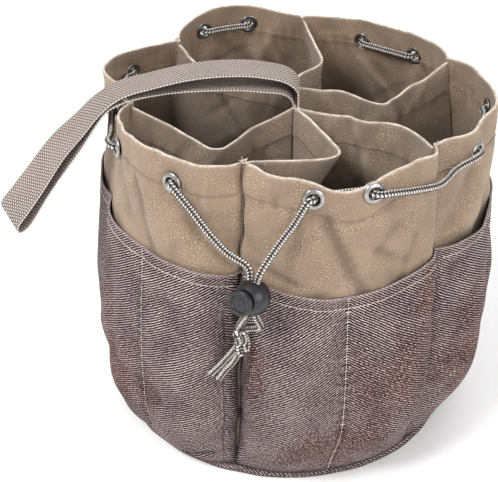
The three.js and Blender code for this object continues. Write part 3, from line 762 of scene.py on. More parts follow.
def webbing_material():
    n = Nodes("handle_webbing_cloth", 0.85, 0.25)
    lay = n.lay()
    fleck = n.noise(lay, 1100, 2, 0.7)
    # Painted shade in the weave's sunken parts and painted highlight on its raised yarns.
    weave_shade_and_highlight = [(0.12, (0.085, 0.064, 0.056)), (0.42, (0.46, 0.40, 0.37)), (1.0, (0.82, 0.76, 0.72))]
    tint = n.ramp(n.share("tone"), weave_shade_and_highlight)
    tint = n.mix(n.fade(fleck, 0.34, 0.50, 0, 0.5), tint, (0.16, 0.125, 0.11))
    tint = n.mix(n.fade(n.noise(lay, 40, 2), 0.4, 0.7, 0.25), tint, (0.33, 0.27, 0.24))
    return n.finish(tint, n.bump(fleck, 0.0003, 0.4))


def cord_material():
    n = Nodes("braided_cord", 0.8, 0.3)
    grain = n.noise(n.lay(), 1500, 2)
    level = n.math("ADD", n.share("tone"), n.math("MULTIPLY_ADD", grain, 0.5, -0.25))
    yarns = [(0.20, (0.022, 0.018, 0.018)), (0.48, (0.20, 0.175, 0.16)), (0.80, (0.66, 0.62, 0.58))]
    return n.finish(n.ramp(level, yarns), n.bump(grain, 0.0002, 0.5))


def plain_material(name, base, roughness, metallic=0.0, grain=900, depth=0.00006, vary=0.12, specular=0.5):
    """A smooth finish with slight grain, uneven gloss and colour."""
    n = Nodes(name, roughness, specular, metallic, base)
    place = n.add("ShaderNodeTexCoord").outputs["Object"]
    fine, broad = n.noise(place, grain, 3), n.noise(place, 60, 2)
    darker, lighter = (tuple(min(1, c * (1 + change)) for c in base) for change in (-vary, vary))
    tint = n.ramp(broad, [(0.3, darker), (0.7, lighter)])
    gloss = n.math("MULTIPLY_ADD", fine, 0.2, roughness - 0.1)
    return n.finish(tint, n.bump(fine, depth, 0.6), gloss)


CANVAS_TAN = canvas_material("canvas_tan", (0.300, 0.215, 0.150), (0.225, 0.155, 0.108))
# The same canvas, painted a little darker and cooler for the pieces inside: painted shade.
CANVAS_SHADED_INSIDE = canvas_material("canvas_shaded_inside", (0.275, 0.208, 0.156), (0.200, 0.148, 0.110))
TWILL = twill_material()
WEBBING = webbing_material()
CORD = cord_material()
NICKEL = plain_material("nickel", (0.36, 0.35, 0.34), 0.28, 1.0)
STEEL = plain_material("spring_steel", (0.55, 0.55, 0.55), 0.35, 1.0)
BLACK = plain_material("black_plastic", (0.009, 0.0095, 0.0115), 0.33, depth=0.00003, vary=0.25)
PALE_THREAD, TAN_THREAD, DARK_THREAD = (
    plain_material(f"{name}_thread", base, 0.8, grain=2500, depth=0.0002, specular=0.2)
    for name, base in (
        ("pale", (0.62, 0.54, 0.50)),
        ("tan", (0.25, 0.18, 0.125)),
        ("dark", (0.13, 0.09, 0.075)),
    )
)

# ---- Eyelets' places ----
FLANGE = 0.0073
CAD_CLOTH = 0.0016


def smooth_wall(k, u, z):
    return polar(*wall_at(k, np.array(u, float), np.array(z, float)), z)


def unit(v):
    return v / np.linalg.norm(v)


EYELETS = []
for k, lobe in enumerate(LOBES):
    for u in lobe["eyelets"]:
        z = lobe["height"]
        along = unit(smooth_wall(k, u + 0.05, z) - smooth_wall(k, u - 0.05, z))
        rise = smooth_wall(k, u, z + FLANGE) - smooth_wall(k, u, z - FLANGE)
        out = unit(np.cross(along, rise))
        centre = smooth_wall(k, u, z) - out * CAD_CLOTH / 2
        EYELETS.append(dict(lobe=k, u=u, z=z, centre=centre, out=out, along=along))

# ---- Cords ----
CORD_RADIUS = 0.0025
CORD_SIDES = 24
CORD_STEP = 0.00035
BRAID_PITCH = 0.0036
CHEVRON_PITCH = 0.58 * BRAID_PITCH
# The cord's line through an eyelet: how far out of the wall, and how far along it.
HALF_THROUGH = [(0.0030, 0.0003), (0.0053, 0.0034), (0.0058, 0.0095)]
LEAN_THROUGH = [(-o, -a) for o, a in HALF_THROUGH[::-1]] + HALF_THROUGH


def braid(line, name, body, tips=(False, False)):
    """A braided cord along a line: two families of crossing strands with dark and light yarns."""
    line = evenly(line, CORD_STEP)
    s = run_lengths(line)[:, None]
    theta = 2 * np.pi * np.arange(CORD_SIDES)[None] / CORD_SIDES
    turns = 2 * np.pi * s / BRAID_PITCH
    left, right = np.cos(4 * theta + turns), np.cos(4 * theta - turns)
    over = np.cos(4 * theta) * np.cos(turns)
    relief = np.where(over > 0, left, right) * 0.5 + 0.5 * left * right
    radii = CORD_RADIUS * (0.95 + 0.07 * relief)
    for at_end, tip in zip((s, s[-1] - s), tips):
        if tip:
            radii = radii * (1 - 0.35 * bell(at_end, 0.0009) + 0.10 * bell(at_end - 0.002, 0.0012))
        else:
            radii = radii * np.ones_like(s)
    # Pale yarns make chevrons in four columns round the cord, with a dark line between two columns.
    off_middle = np.abs((theta / (np.pi / 2) + 0.5) % 1 * 2 - 1)
    chevron = 0.5 + 0.5 * np.cos(2 * np.pi * (s / CHEVRON_PITCH + off_middle * 0.5))
    # The relief term lightens the raised strands a little: painted highlight.
    tone = np.clip(0.14 + 1.05 * chevron - bell(1 - off_middle, 0.40) + 0.15 * relief, 0, 1)
    points, faces = tube_mesh(line, radii, CORD_SIDES)
    lay = np.stack(np.broadcast_arrays(theta * CORD_RADIUS, s, 0 * s), -1).reshape(-1, 3)
    return new_object(name, points, faces, body, CORD, lay, tone), line


def through_eyelet(eyelet, outwards):
    way = 1 if outwards else -1
    return [eyelet["centre"] + eyelet["out"] * o * way + eyelet["along"] * a for o, a in LEAN_THROUGH]


def wall_radius(direction, z):
    for k in range(LOBE_COUNT):
        start, end = seam_angle(k, z), seam_angle(k + 1, z)
        u = ((direction - start) % 360) / (end - start)
        if u <= 1:
            return float(wall_at(k, np.array(u), np.array(z))[1])
    raise ValueError(direction)


OUTSIDE_SAG = 0.005
OUTSIDE_CLEAR = 0.0042


def outside_run(start, end):
    """The cord's points between two eyelets outside: it sags, and goes round the wall."""
    run = []
    for share in (0.25, 0.5, 0.75):
        p = start + (end - start) * share
        p[2] -= OUTSIDE_SAG * math.sin(math.pi * share) ** 2
        direction = math.degrees(math.atan2(p[1], p[0]))
        reach = max(math.hypot(p[0], p[1]), wall_radius(direction, p[2]) + OUTSIDE_CLEAR)
        run.append(polar(direction, reach, p[2]))
    return run


def make_drawstring():
    route = []
    last = len(EYELETS) - 1
    for i, eyelet in enumerate(EYELETS):
        outwards = i % 2 == 1
        run = through_eyelet(eyelet, outwards)
        if i == 0:
            route += [eyelet["centre"], *run[3:]]
        elif i == last:
            route += [*run[:3], eyelet["centre"]]
        else:
            route += run
        if outwards and i < last:
            route += outside_run(run[-1], through_eyelet(EYELETS[i + 1], False)[0])
    obj, _ = braid(through(route, 12), "drawstring_braid", "bag")
    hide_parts("drawstring")


LOCK_CENTRE = np.array([0.0175, -0.1595, 0.186])
LOCK_LEAN = math.radians(14)
LOCK_FACING = 254
LOCK_BALL = 0.012
STRAND_OFFSET = 0.0028
LOCK_UP = np.array([0, math.sin(LOCK_LEAN), math.cos(LOCK_LEAN)])
LOCK_OUT = polar(LOCK_FACING, 1.0, 0.0)
LOCK_OUT = unit(LOCK_OUT - LOCK_UP * LOCK_OUT.dot(LOCK_UP))
LOCK_SIDE = np.cross(LOCK_UP, LOCK_OUT)
KNOT_CENTRE = np.array([0.008, -0.155, 0.143])
KNOT_TOP = 0.0127
KNOT_SPAN = -1.98, 2.06
KNOT_SCALE = 0.00235, 0.00130, 0.00074
KNOT_LEAN = math.radians(24)
# The cut ends' lines below the knot, and how much further apart they get.
TAILS = [((-0.008, 0.001, -0.017), 1.0), ((-0.0145, 0.0015, -0.027), 1.05), ((-0.021, 0.0015, -0.037), 1.1)]


def in_lock(x, y, z):
    """A point in the lock's own frame: strands run along +Z, and the button faces -Y."""
    return LOCK_CENTRE + LOCK_SIDE * x - LOCK_OUT * y + LOCK_UP * z


def knot_entry(x):
    return KNOT_CENTRE + np.array([0.001 + x, 0, KNOT_TOP])


# The strands' lines above the lock, and below it.
LEFT_OVER = [(-0.030, -0.143, 0.234), (-0.016, -0.147, 0.2205), (-0.003, -0.1495, 0.210)]
RIGHT_OVER = [(0.0395, -0.141, 0.235), (0.0305, -0.146, 0.220)]
RIGHT_UNDER = [(0.0225, -0.1595, 0.1635)]


def free_strand(name, eyelet, side, over, under):
    """The cord from an eyelet into the lock, and from the lock to the knot."""
    x = side * STRAND_OFFSET
    leave = through_eyelet(eyelet, side < 0)
    start = leave[3:5] if side < 0 else leave[2:0:-1]
    mouth = eyelet["centre"] + eyelet["out"] * 0.0006 - eyelet["along"] * 0.00033 * side
    top, middle, low = in_lock(x, 0, LOCK_BALL), in_lock(x, 0, 0), in_lock(x, 0, -LOCK_BALL)
    upper = [mouth, *start, *over, in_lock(1.8 * x, 0, LOCK_BALL + 0.007), top, middle]
    foot = knot_entry(x)
    lower = [middle, low, *(under or [(low + foot) / 2 + np.array([0, -0.0015, 0])]), foot]
    above, above_line = braid(through(upper, 14), f"{name}_above_lock", None)
    below, below_line = braid(through(lower, 14), f"{name}_below_lock", None)
    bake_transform(above)
    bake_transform(below)
    for piece in (above, below):
        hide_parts(name)
    return above, above_line, below, below_line


make_drawstring()
STRANDS = [
    free_strand("cord_left", EYELETS[-1], -1, LEFT_OVER, []),
    free_strand("cord_right", EYELETS[0], 1, RIGHT_OVER, RIGHT_UNDER),
]


def make_knot():
    """An overhand knot in both cords together, with two cut ends."""
    t = np.linspace(*KNOT_SPAN, 60)
    loop = np.stack([t**3 - 3 * t, t**4 - 4 * t**2 + 1.2, -(t**5) + 10 * t], -1)
    loop *= np.array(KNOT_SCALE)
    x = np.array([math.cos(KNOT_LEAN), 0, -math.sin(KNOT_LEAN)])
    z = np.array([math.sin(KNOT_LEAN), 0, math.cos(KNOT_LEAN)])
    middle = placed(loop, KNOT_CENTRE + np.array([0.0, 0.002, 0.001]), x, (0, 1, 0), z)
    pieces = []
    for side, name in ((-1, "cord_knot_left"), (1, "cord_knot_right")):
        dx = side * STRAND_OFFSET
        beside = middle + np.array([0.55 * dx, 0.3 * dx, 0.35 * dx])
        top = knot_entry(dx)
        tails = [KNOT_CENTRE + np.array(place) + np.array([dx * spread, 0, 0]) for place, spread in TAILS]
        tails[-1][2] -= 0.0012 * side
        enter = top * 0.55 + beside[0] * 0.45
        route = evenly(through([top, enter, *beside[::6], *tails], 10), 0.0005)
        obj, _ = braid(route, name, "bag", tips=(False, True))
        pieces.append(obj)
    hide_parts("cord_knot")
    return pieces


KNOT = make_knot()


# ---- Stitches ----
STITCH_PITCH = 0.0034
STITCH_LENGTH = 0.0029
STITCH_LIFT = 0.00022
THREAD = 0.00031


def stitch_shape():
    """One stitch along +X, a short rounded bar, as points and faces."""
    sides = 6
    reach = STITCH_LENGTH / 2
    profile = [(-reach, 0.35), (-reach * 0.72, 0.95), (reach * 0.72, 0.95), (reach, 0.35)]
    a = 2 * np.pi * np.arange(sides) / sides
    y, z = THREAD * np.cos(a), THREAD * np.sin(a)
    rings = [np.stack([np.full(sides, x), r * y, r * z], -1) for x, r in profile]
    return np.concatenate(rings), [face[::-1] for face in bar_faces(len(profile), sides)]


def stitch_line(line, outwards):
    """Stitches along a line of points; outwards are the cloth's normals at those points."""
    s = run_lengths(line)
    at = np.arange(STITCH_PITCH / 2, s[-1], STITCH_PITCH)
    centre, normal = sampled(at, s, line), sampled(at, s, outwards)
    way = sampled(at + 0.0005, s, line) - sampled(at - 0.0005, s, line)
    way /= np.linalg.norm(way, axis=1)[:, None]
    normal -= way * (normal * way).sum(1)[:, None]
    normal /= np.linalg.norm(normal, axis=1)[:, None]
    side = np.cross(normal, way)
    shape, faces = stitch_shape()
    points = (
        centre[:, None]
        + normal[:, None] * (STITCH_LIFT + shape[None, :, 2:3])
        + way[:, None] * shape[None, :, 0:1]
        + side[:, None] * shape[None, :, 1:2]
    )
    count = len(shape)
    faces = [[i + count * j for i in face] for j in range(len(at)) for face in faces]
    return points.reshape(-1, 3), faces


def on_surface(surface, u, z, inward, facing=1):
    """Points on a cloth's face and the normals there. facing is -1 for its inner face."""
    u, z = np.broadcast_arrays(np.asarray(u, float), np.asarray(z, float))
    small_u, small_z = 0.004, 0.0006
    line = surface(u, z, inward)
    across = surface(u + small_u, z, inward) - surface(u - small_u, z, inward)
    rise = surface(u, z + small_z, inward) - surface(u, z - small_z, inward)
    normal = np.cross(across, rise) * facing
    return line, normal / np.linalg.norm(normal, axis=1)[:, None]


def make_stitches(name, lines, material):
    obj = new_object(name, *joined(lines), "bag", material)
    return obj


# ---- Canvas wall ----
SEAM_INSET = 0.0016
WALL_FOOT = 0.002
HOLE_RADIUS = 0.0052
COLUMNS = dict(wall=96, pocket=100, divider=66, centre=24)
ROW_STEP = dict(wall=0.0019, pocket=0.0016, divider=0.0021, centre=0.003)
EDGE_HIGHLIGHT = dict(wall=0.0011, pocket=0.0009, divider=0.0012)  # how far the painted highlight reaches from a cut edge
SHADE_REACH = 3  # how many points away a hollow or a ridge is judged
SHADE_DEPTH = dict(wall=0.0009, pocket=0.0009, divider=0.0012)


def seam_dense(count, inset):
    """Shares across a lobe, closer together near the seams."""
    t = np.linspace(0, 1, count)
    t = t - 0.11 * np.sin(2 * np.pi * t)
    return inset + (1 - 2 * inset) * t


def hem_extra(below_rim):
    return HEM_EXTRA * (1 - smooth_step(below_rim, HEM_DEPTH - 0.0004, HEM_DEPTH + 0.0006))


def soiling(below_rim):
    """Painted shade inside the bucket: the canvas is painted darker the deeper down below the rim."""
    return smooth_step(below_rim, 0.012, 0.090)


def at_front_seam(k, u, width):
    """1 at the front seam, falling to 0 beside it, and 0 in the lobes that don't touch it."""
    away = {0: u, LOBE_COUNT - 1: 1 - u}.get(k)
    return 0 * u if away is None else bell(away * LOBE_ARC, width)


def make_wall(k):
    surface = wall_surface(k)
    u = seam_dense(COLUMNS["wall"], SEAM_INSET)[None]
    half = (CANVAS + HEM_EXTRA) / 2
    below = edge_rows(RIM - WALL_FOOT, ROW_STEP["wall"], half)[::-1, None]
    rim = rim_height(k, u) + 0.6 * RIM_WOBBLES[k](u * LOBE_ARC, 1.0) * (1 - near_seam(u, 0.006))
    z = rim - below * (rim - WALL_FOOT) / (RIM - WALL_FOOT)
    u, z, below = np.broadcast_arrays(u, z, below)
    drawn = edge_draw(below, half)
    front, back = surface(u, z, drawn), surface(u, z, CANVAS + hem_extra(below) - drawn)
    keep = np.ones((u.shape[0] - 1, u.shape[1] - 1), bool)
    middle = (front[:-1, :-1] + front[1:, 1:]) / 2
    for e in EYELETS:
        if e["lobe"] == k:
            away = middle - e["centre"]
            flat = away - e["out"] * (away @ e["out"])[..., None]
            keep &= np.linalg.norm(flat, axis=-1) > HOLE_RADIUS
    sunk = 0.55 * hollows(surface(u, z, 0.0), SHADE_REACH, SHADE_DEPTH["wall"])
    # Painted shade: a dark line down the groove of the front seam.
    if k in (0, LOBE_COUNT - 1):
        sunk = np.maximum(sunk, at_front_seam(k, u, 0.0011))
    obj = cloth(
        f"wall_cloth_{k + 1}", f"canvas_panel_{k + 1}", "canvas", CANVAS_TAN, front, back,
        (u * LOBE_ARC + k, z, 0), bell(below, EDGE_HIGHLIGHT["wall"]), keep,
        soil=(0 * below, soiling(below)), **sunk_and_raised(sunk),
    )
    along = np.linspace(0.02, 0.98, 200)
    hem = rim_height(k, along) - HEM_DEPTH + 0.0016
    lines = [
        stitch_line(*on_surface(surface, along, hem, 0.0)),
        stitch_line(*on_surface(surface, along, hem, CANVAS + HEM_EXTRA, -1)),
    ]
    stitches = make_stitches(f"wall_hem_stitches_{k + 1}", lines, TAN_THREAD)


for k in range(LOBE_COUNT):
    make_wall(k)


def make_tufts():
    """Loose thread ends that stand up where the seams reach the rim."""
    rng = np.random.default_rng(601)
    for k, count in ((0, 9), (1, 5), (5, 4), (3, 4)):
        foot = smooth_wall(k, 0.0, RIM) - UP * 0.0012
        out = unit(foot * np.array([1, 1, 0]))
        aside = np.cross((0, 0, 1.0), out)
        threads = []
        for _ in range(count):
            lean, curl = rng.normal(0, 0.6), rng.normal(0, 0.5)
            length = rng.uniform(0.0028, 0.0062)
            start = foot + aside * rng.uniform(-0.0014, 0.0014) + out * rng.uniform(-0.0008, 0.0006)
            way = unit(aside * lean + out * rng.normal(0.1, 0.5) + UP)
            bend = (aside * curl + out * 0.3) * 0.6
            line = through([start + length * (way * t + bend * t * t) for t in (0, 0.35, 0.7, 1)], 4)
            threads.append(tube_mesh(line, np.full((len(line), 5), 0.00022), 5))
        tuft = new_object(f"seam_threads_{k + 1}", *joined(threads), "bag", PALE_THREAD)
        face_out(tuft)


# ---- Outside pockets ----
POCKET_FOOT = 0.0035
POCKET_INSET = -0.0006  # neighbouring pocket cloths meet in their seam


def twill_turn(k, u):
    """Which way the twill's diagonals rise: -1 to the right, 1 to the left."""
    turns_at = {1: -1, LOBE_COUNT - 1: 0.945}.get(k, 0.5)
    return np.where(u > turns_at, 1.0, -1.0)


# Where the twill has faded red-brown: lobe, (u, z) of the middle, half width and half height.
RED_PATCHES = [
    (0, (0.74, 0.105), 0.30, 0.040),
    (0, (0.50, 0.040), 0.36, 0.030),
    (0, (0.10, 0.115), 0.07, 0.030),
    (0, (0.90, 0.165), 0.08, 0.030),
    (1, (0.30, 0.085), 0.36, 0.060),
    (2, (0.40, 0.060), 0.50, 0.040),
    (3, (0.70, 0.070), 0.30, 0.040),
    (4, (0.30, 0.050), 0.40, 0.030),
    (5, (0.30, 0.060), 0.34, 0.050),
    (5, (0.08, 0.140), 0.14, 0.050),
]


def faded(k, u, z):
    total = np.zeros_like(u)
    for lobe, (u0, z0), wide, high in RED_PATCHES:
        if lobe == k:
            total = total + bell(u - u0, wide) * bell(z - z0, high)
    return total


def make_pockets(k):
    surface = pocket_surface(k)
    u = seam_dense(COLUMNS["pocket"], POCKET_INSET)[None]
    half = POCKET_CLOTH / 2
    span = POCKET_TOP_AT_SEAM[k] - POCKET_FOOT
    below = edge_rows(span, ROW_STEP["pocket"], half)[::-1, None]
    z = pocket_top(k, u) - below * (pocket_top(k, u) - POCKET_FOOT) / span
    u, z, below = np.broadcast_arrays(u, z, below)
    drawn = edge_draw(below, half)
    # Painted shade in the pocket cloth's creases, from its shape.
    sunk = 0.6 * hollows(surface(u, z, 0.0), SHADE_REACH, SHADE_DEPTH["pocket"])
    sunk = np.maximum(sunk, bell(z - 0.0085, 0.0028))  # painted shade: a dark line in the gap above the base binding
    # Painted shade: a dark line down the groove of the front seam.
    sunk = np.maximum(sunk, 0.95 * at_front_seam(k, u, 0.0022))
    obj = cloth(
        f"pocket_cloth_{k + 1}", f"pocket_panel_{k + 1}", "pocket_cloth", TWILL,
        surface(u, z, drawn), surface(u, z, POCKET_CLOTH - drawn),
        ((u - 0.5) * LOBE_ARC * twill_turn(k, u), z, k), bell(below, EDGE_HIGHLIGHT["pocket"]),
        hollow=(sunk, 0 * sunk), patch=faded(k, u, z),
    )
    along = np.linspace(0.03, 0.97, 200)
    rise = np.linspace(0.012, 1, 200)
    heights = 0.008 + (pocket_top(k, np.array(0.5)) - 0.010) * rise
    lines = [
        stitch_line(*on_surface(surface, along, pocket_top(k, along) - TOPSTITCH_DEPTH, 0.0)),
        stitch_line(*on_surface(surface, 0.5 + 0 * heights, heights, 0.0)),
    ]
    stitches = make_stitches(f"pocket_stitches_{k + 1}", lines, PALE_THREAD)


for k in range(LOBE_COUNT):
    make_pockets(k)

# ---- Dividers ----
CENTRE_FACING = 196
CENTRE_TOP = 0.254
CENTRE_HALF_WIDTH = 0.0157
JOIN_AT = 0.0166
DIVIDERS_FROM = 0.0015
DIVIDER_FOOT = 0.0038
DIVIDER_EDGES = [
    dict(aside=(0.036, 0.042, 0), dip=(0.009, 0.009, 0.008)),
    dict(aside=(0.016, 0.018, 0.022), dip=(0.006, 0.002, 0.006)),
    dict(aside=(0.002, -0.020, -0.008), dip=(0.009, 0.014, 0.010)),
    dict(aside=(-0.002, -0.015, -0.009), dip=(0.006, 0.006, 0.004)),
    dict(aside=(-0.012, -0.004, 0.003), dip=(0.008, 0.010, 0.010)),
    dict(aside=(0, 0.026, 0.005), dip=(0.017, 0.020, 0.012)),
]
DIVIDER_LENGTH = 0.115
DIVIDER_RIPPLES = [ripple_field(51 + k, 0.022, 0.080, 0.022) for k in range(LOBE_COUNT)]
DIVIDER_CREASES = [
    random_folds(k, 391 + k, 12, 0.170, 0.262, 0.0022, 0.0050)
    + random_folds(k, 491 + k, 10, 0.060, 0.180, 0.0026, 0.0065)
    for k in range(LOBE_COUNT)
]


def edge_curve(values):
    """A smooth line through values at 0, 1/4, 1/2, 3/4 and 1, that starts and ends at 0."""
    knots = [(0.0, 0.0, 0.0), *((0.25 * (i + 1), v, 0.0) for i, v in enumerate(values)), (1.0, 0.0, 0.0)]
    line = through(knots, 30)
    return lambda t: np.interp(t, line[:, 0], line[:, 1])


def divider_surface(k):
    """Divider k: points for t out from the centre, height share h, and a distance across the cloth."""
    edge = DIVIDER_EDGES[k]
    aside, dip = edge_curve(edge["aside"]), edge_curve(edge["dip"])
    in_front = k < 2 or k == LOBE_COUNT - 1
    join = polar(CENTRE_FACING + (90 if in_front else -90), JOIN_AT, 0.0)

    def middle(t, h):
        wobble = RIM_WOBBLES[k](t * DIVIDER_LENGTH + 0.4, 0.5) * np.sin(np.pi * t) ** 0.5
        top = CENTRE_TOP + (RIM - 0.003 - CENTRE_TOP) * t - dip(t) + 0.7 * wobble
        z = DIVIDER_FOOT + (top - DIVIDER_FOOT) * h
        angle, radius = wall_at(k, np.zeros_like(z), z)
        seam_point = polar(angle, radius - CANVAS - HEM_EXTRA - 0.0002, 0.0)
        way = seam_point - join
        way = way / np.linalg.norm(way, axis=-1, keepdims=True)
        start = join + way * DIVIDERS_FROM
        left = np.stack([-way[..., 1], way[..., 0], 0 * way[..., 0]], -1)
        along, below = t * DIVIDER_LENGTH, (1 - h) * RIM
        soft = DIVIDER_RIPPLES[k](along, z) * (0.35 + 0.65 * h) + fold_relief(DIVIDER_CREASES[k], k, t, z)
        soft = soft + puckers(along, below - HEM_DEPTH, **DIVIDER_HEM_PUCKERS)
        offset = aside(t) * h**2 + soft * np.sin(np.pi * t) ** 0.8 + wobble * bell(below, 0.016)
        point = start + (seam_point - start) * t[..., None] + left * offset[..., None]
        point[..., 2] = z
        return slumped(point)

    def surface(t, h, across=0.0):
        t, h = np.broadcast_arrays(np.asarray(t, float), np.asarray(h, float))
        run = middle(np.minimum(t + 0.006, 1), h) - middle(np.maximum(t - 0.006, 0), h)
        run[..., 2] = 0
        run /= np.linalg.norm(run, axis=-1, keepdims=True)
        side = np.stack([-run[..., 1], run[..., 0], 0 * run[..., 0]], -1)
        return middle(t, h) + side * np.broadcast_to(across, t.shape)[..., None]

    return surface


def make_divider(k):
    surface = divider_surface(k)
    t = np.linspace(0, 1, COLUMNS["divider"])[None]
    half = (CANVAS + HEM_EXTRA) / 2
    below = edge_rows(RIM - DIVIDER_FOOT, ROW_STEP["divider"], half)[::-1, None]
    t, below = np.broadcast_arrays(t, below)
    h = 1 - below / (RIM - DIVIDER_FOOT)
    half_thick = (CANVAS + hem_extra(below)) / 2 - edge_draw(below, half)
    sunk = 0.6 * hollows(surface(t, h, 0.0), SHADE_REACH, SHADE_DEPTH["divider"])
    obj = cloth(
        f"divider_cloth_{k + 1}", f"divider_{k + 1}", "canvas", CANVAS_SHADED_INSIDE,
        surface(t, h, -half_thick), surface(t, h, half_thick),
        (t * DIVIDER_LENGTH + 3 * k, h * RIM, 0), bell(below, EDGE_HIGHLIGHT["divider"]),
        soil=soiling(below), **sunk_and_raised(sunk),
    )
    out = np.linspace(0.02, 0.97, 160)
    level = np.full_like(out, 1 - (HEM_DEPTH - 0.0018) / (RIM - DIVIDER_FOOT))
    lines = []
    for side in (-1, 1):
        line = surface(out, level, side * (CANVAS + HEM_EXTRA) / 2)
        normal = surface(out, level, side * 0.01) - surface(out, level, 0.0)
        lines.append(stitch_line(line, normal))
    stitches = make_stitches(f"divider_hem_stitches_{k + 1}", lines, DARK_THREAD)


def make_centre_panel():
    facing = polar(CENTRE_FACING, 1.0, 0.0)
    side = polar(CENTRE_FACING + 90, 1.0, 0.0)
    half = CANVAS / 2
    u = np.linspace(-CENTRE_HALF_WIDTH, CENTRE_HALF_WIDTH, COLUMNS["centre"])[None]
    below = edge_rows(CENTRE_TOP - DIVIDER_FOOT, ROW_STEP["centre"], half)[::-1, None]
    u, below = np.broadcast_arrays(u, below)
    z = CENTRE_TOP - below
    ripple = DIVIDER_RIPPLES[0](u + 0.5, z) * 0.1 * np.cos(u / CENTRE_HALF_WIDTH * np.pi / 2)
    thick = half - edge_draw(below, half)

    def face(sign):
        return side * u[..., None] + facing * (ripple + sign * thick)[..., None] + UP * z[..., None]

    cloth(
        "centre_panel_cloth", "centre_panel", "canvas", CANVAS_SHADED_INSIDE, face(1), face(-1),
        (u + 9, z, 0), bell(below, EDGE_HIGHLIGHT["divider"]),
    )


make_centre_panel()
for k in range(LOBE_COUNT):
    make_divider(k)


# ---- Base ----
BASE_CLOTH = 0.0015
# The turned edge's roll: half width and half height, and its middle's radius and height.
BINDING = dict(wide=0.0019, high=0.0036, radius=0.1345, z=0.0037)


def disc_cloth(name, node, slot_name, material, radius, z, seed, swell):
    """A round cloth: rings of points on both faces, with soft swells and a rounded edge."""
    edge = radius - BASE_CLOTH / 2 * (1 - np.sin(np.radians([10, 40, 70, 90])))
    radii = np.concatenate([np.linspace(0.0006, radius - 0.002, 56), edge])
    angle = np.linspace(0, 360, 193)[None]
    r, angle = np.broadcast_arrays(radii[:, None], angle)
    flat = polar(angle, r, 0.0)[:, ::-1]
    x, y = flat[..., 0], flat[..., 1]
    swells = ripple_field(seed, 0.04, 0.12, 0.006)(x, y) * 0.4 + swell if swell else 0
    lift = z + swells * (1 - smooth_step(r, radius * 0.7, radius))
    draw = edge_draw(radius - r, BASE_CLOTH / 2)
    top, low = (slumped(flat + UP * (lift + gap)[..., None]) for gap in (BASE_CLOTH - draw, draw))
    weld(cloth(name, node, slot_name, material, top, low, (x, y, 20), 0 * r), 1e-5)


disc_cloth("base_cloth", "base_disc", "pocket_cloth", TWILL, 0.131, 0.0, 71, 0)
disc_cloth("base_lining_cloth", "base_lining", "canvas", CANVAS_SHADED_INSIDE, 0.1235, 0.0022, 72, 0.0006)


def make_binding():
    """The turned edge where the pocket cloth meets the base: a soft roll."""
    angle = np.linspace(0, 360, 721)[:-1]
    wave = ripple_field(81, 0.012, 0.06, 0.020)
    reach = wave(np.radians(angle) * BASE_RADIUS, 0 * angle)
    section = np.radians(np.linspace(0, 360, 25)[:-1])[None]
    r = BINDING["radius"] + reach[:, None] + BINDING["wide"] * np.cos(section)
    z = BINDING["z"] + BINDING["high"] * np.sin(section) + 0 * r
    points = slumped(polar(angle[:, None], r, z)).reshape(-1, 3)
    round_it = np.radians(angle)[:, None] * BASE_RADIUS + 0 * r
    lay = np.stack([round_it, section * 0.003 + 0 * r, 0 * r + 30], -1).reshape(-1, 3)
    shadow = bell(section - np.pi / 2, 0.5) + 0 * r  # under the cloth above it
    faces = ring_faces(r.shape, 0)
    obj = new_object("base_binding_roll", points, faces, "bag", TWILL, lay, np.zeros(r.size), hollow=shadow)
    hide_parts("base_binding")


make_binding()


# ---- Eyelets ----
GROMMET_STAND = 0.0016  # from the cloth's middle


def make_eyelet(i, e):
    """A rolled nickel grommet outside, and its washer inside, turned from profiles of (radius, height)."""
    stand = GROMMET_STAND
    grommet = [
        (0.0046, -stand - 0.0006),
        (0.0046, stand * 0.6),
        (0.0070, stand * 0.55),
        (0.0073, stand * 0.75),
        *arc((0.00615, stand * 0.75), 0.00115, 0, 75, 6),
        *arc((0.0052, stand), 0.0012, 80, 180, 9),
        (0.0040, -stand - 0.0002),
        *arc((0.0046, -stand - 0.0002), 0.0006, 180, 270, 5),
    ]
    washer = [
        (0.0048, -stand + 0.0004),
        (0.0048, -stand - 0.0002),
        *arc((0.0056, -stand - 0.0001), 0.0006, 200, 270, 4),
        (0.0066, -stand - 0.0006),
        *arc((0.0068, -stand - 0.0001), 0.0005, 290, 360, 4),
        (0.0073, -stand + 0.0004),
    ]
    rise = np.cross(e["out"], e["along"])
    for name, profile, node in (
        ("grommet", grommet, f"eyelet_{i:02d}"),
        ("washer", washer, f"eyelet_washer_{i:02d}"),
    ):
        points, faces = lathe_mesh(profile, 40)
        points = placed(points, e["centre"], e["along"], rise, e["out"])
        obj = new_object(f"{name}_{i:02d}", points, faces, "bag", NICKEL)
        face_out(obj)
        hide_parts(node)


for i, e in enumerate(EYELETS, 1):
    make_eyelet(i, e)
make_tufts()


# ---- Cord lock ----
SLOT_HALF_WIDTH = 0.0056
SLOT_HALF_HEIGHT = 0.0028
LOCK_FACE = 0.0096
BORE_RADIUS = 0.0073
BORE_END = 0.0092
TRAVEL = 0.003
CAP = dict(start=0.0129, end=0.0160, radius=0.0088)
STEM_RADIUS = 0.0070
STEM_END = -0.0046
SLOT_ROUND = 0.0024
SPRING = dict(turns=2.5, wire=0.00042, radius=0.0042, clear=0.0002)
AXIS = 0.00001  # a profile ends this close to its axis


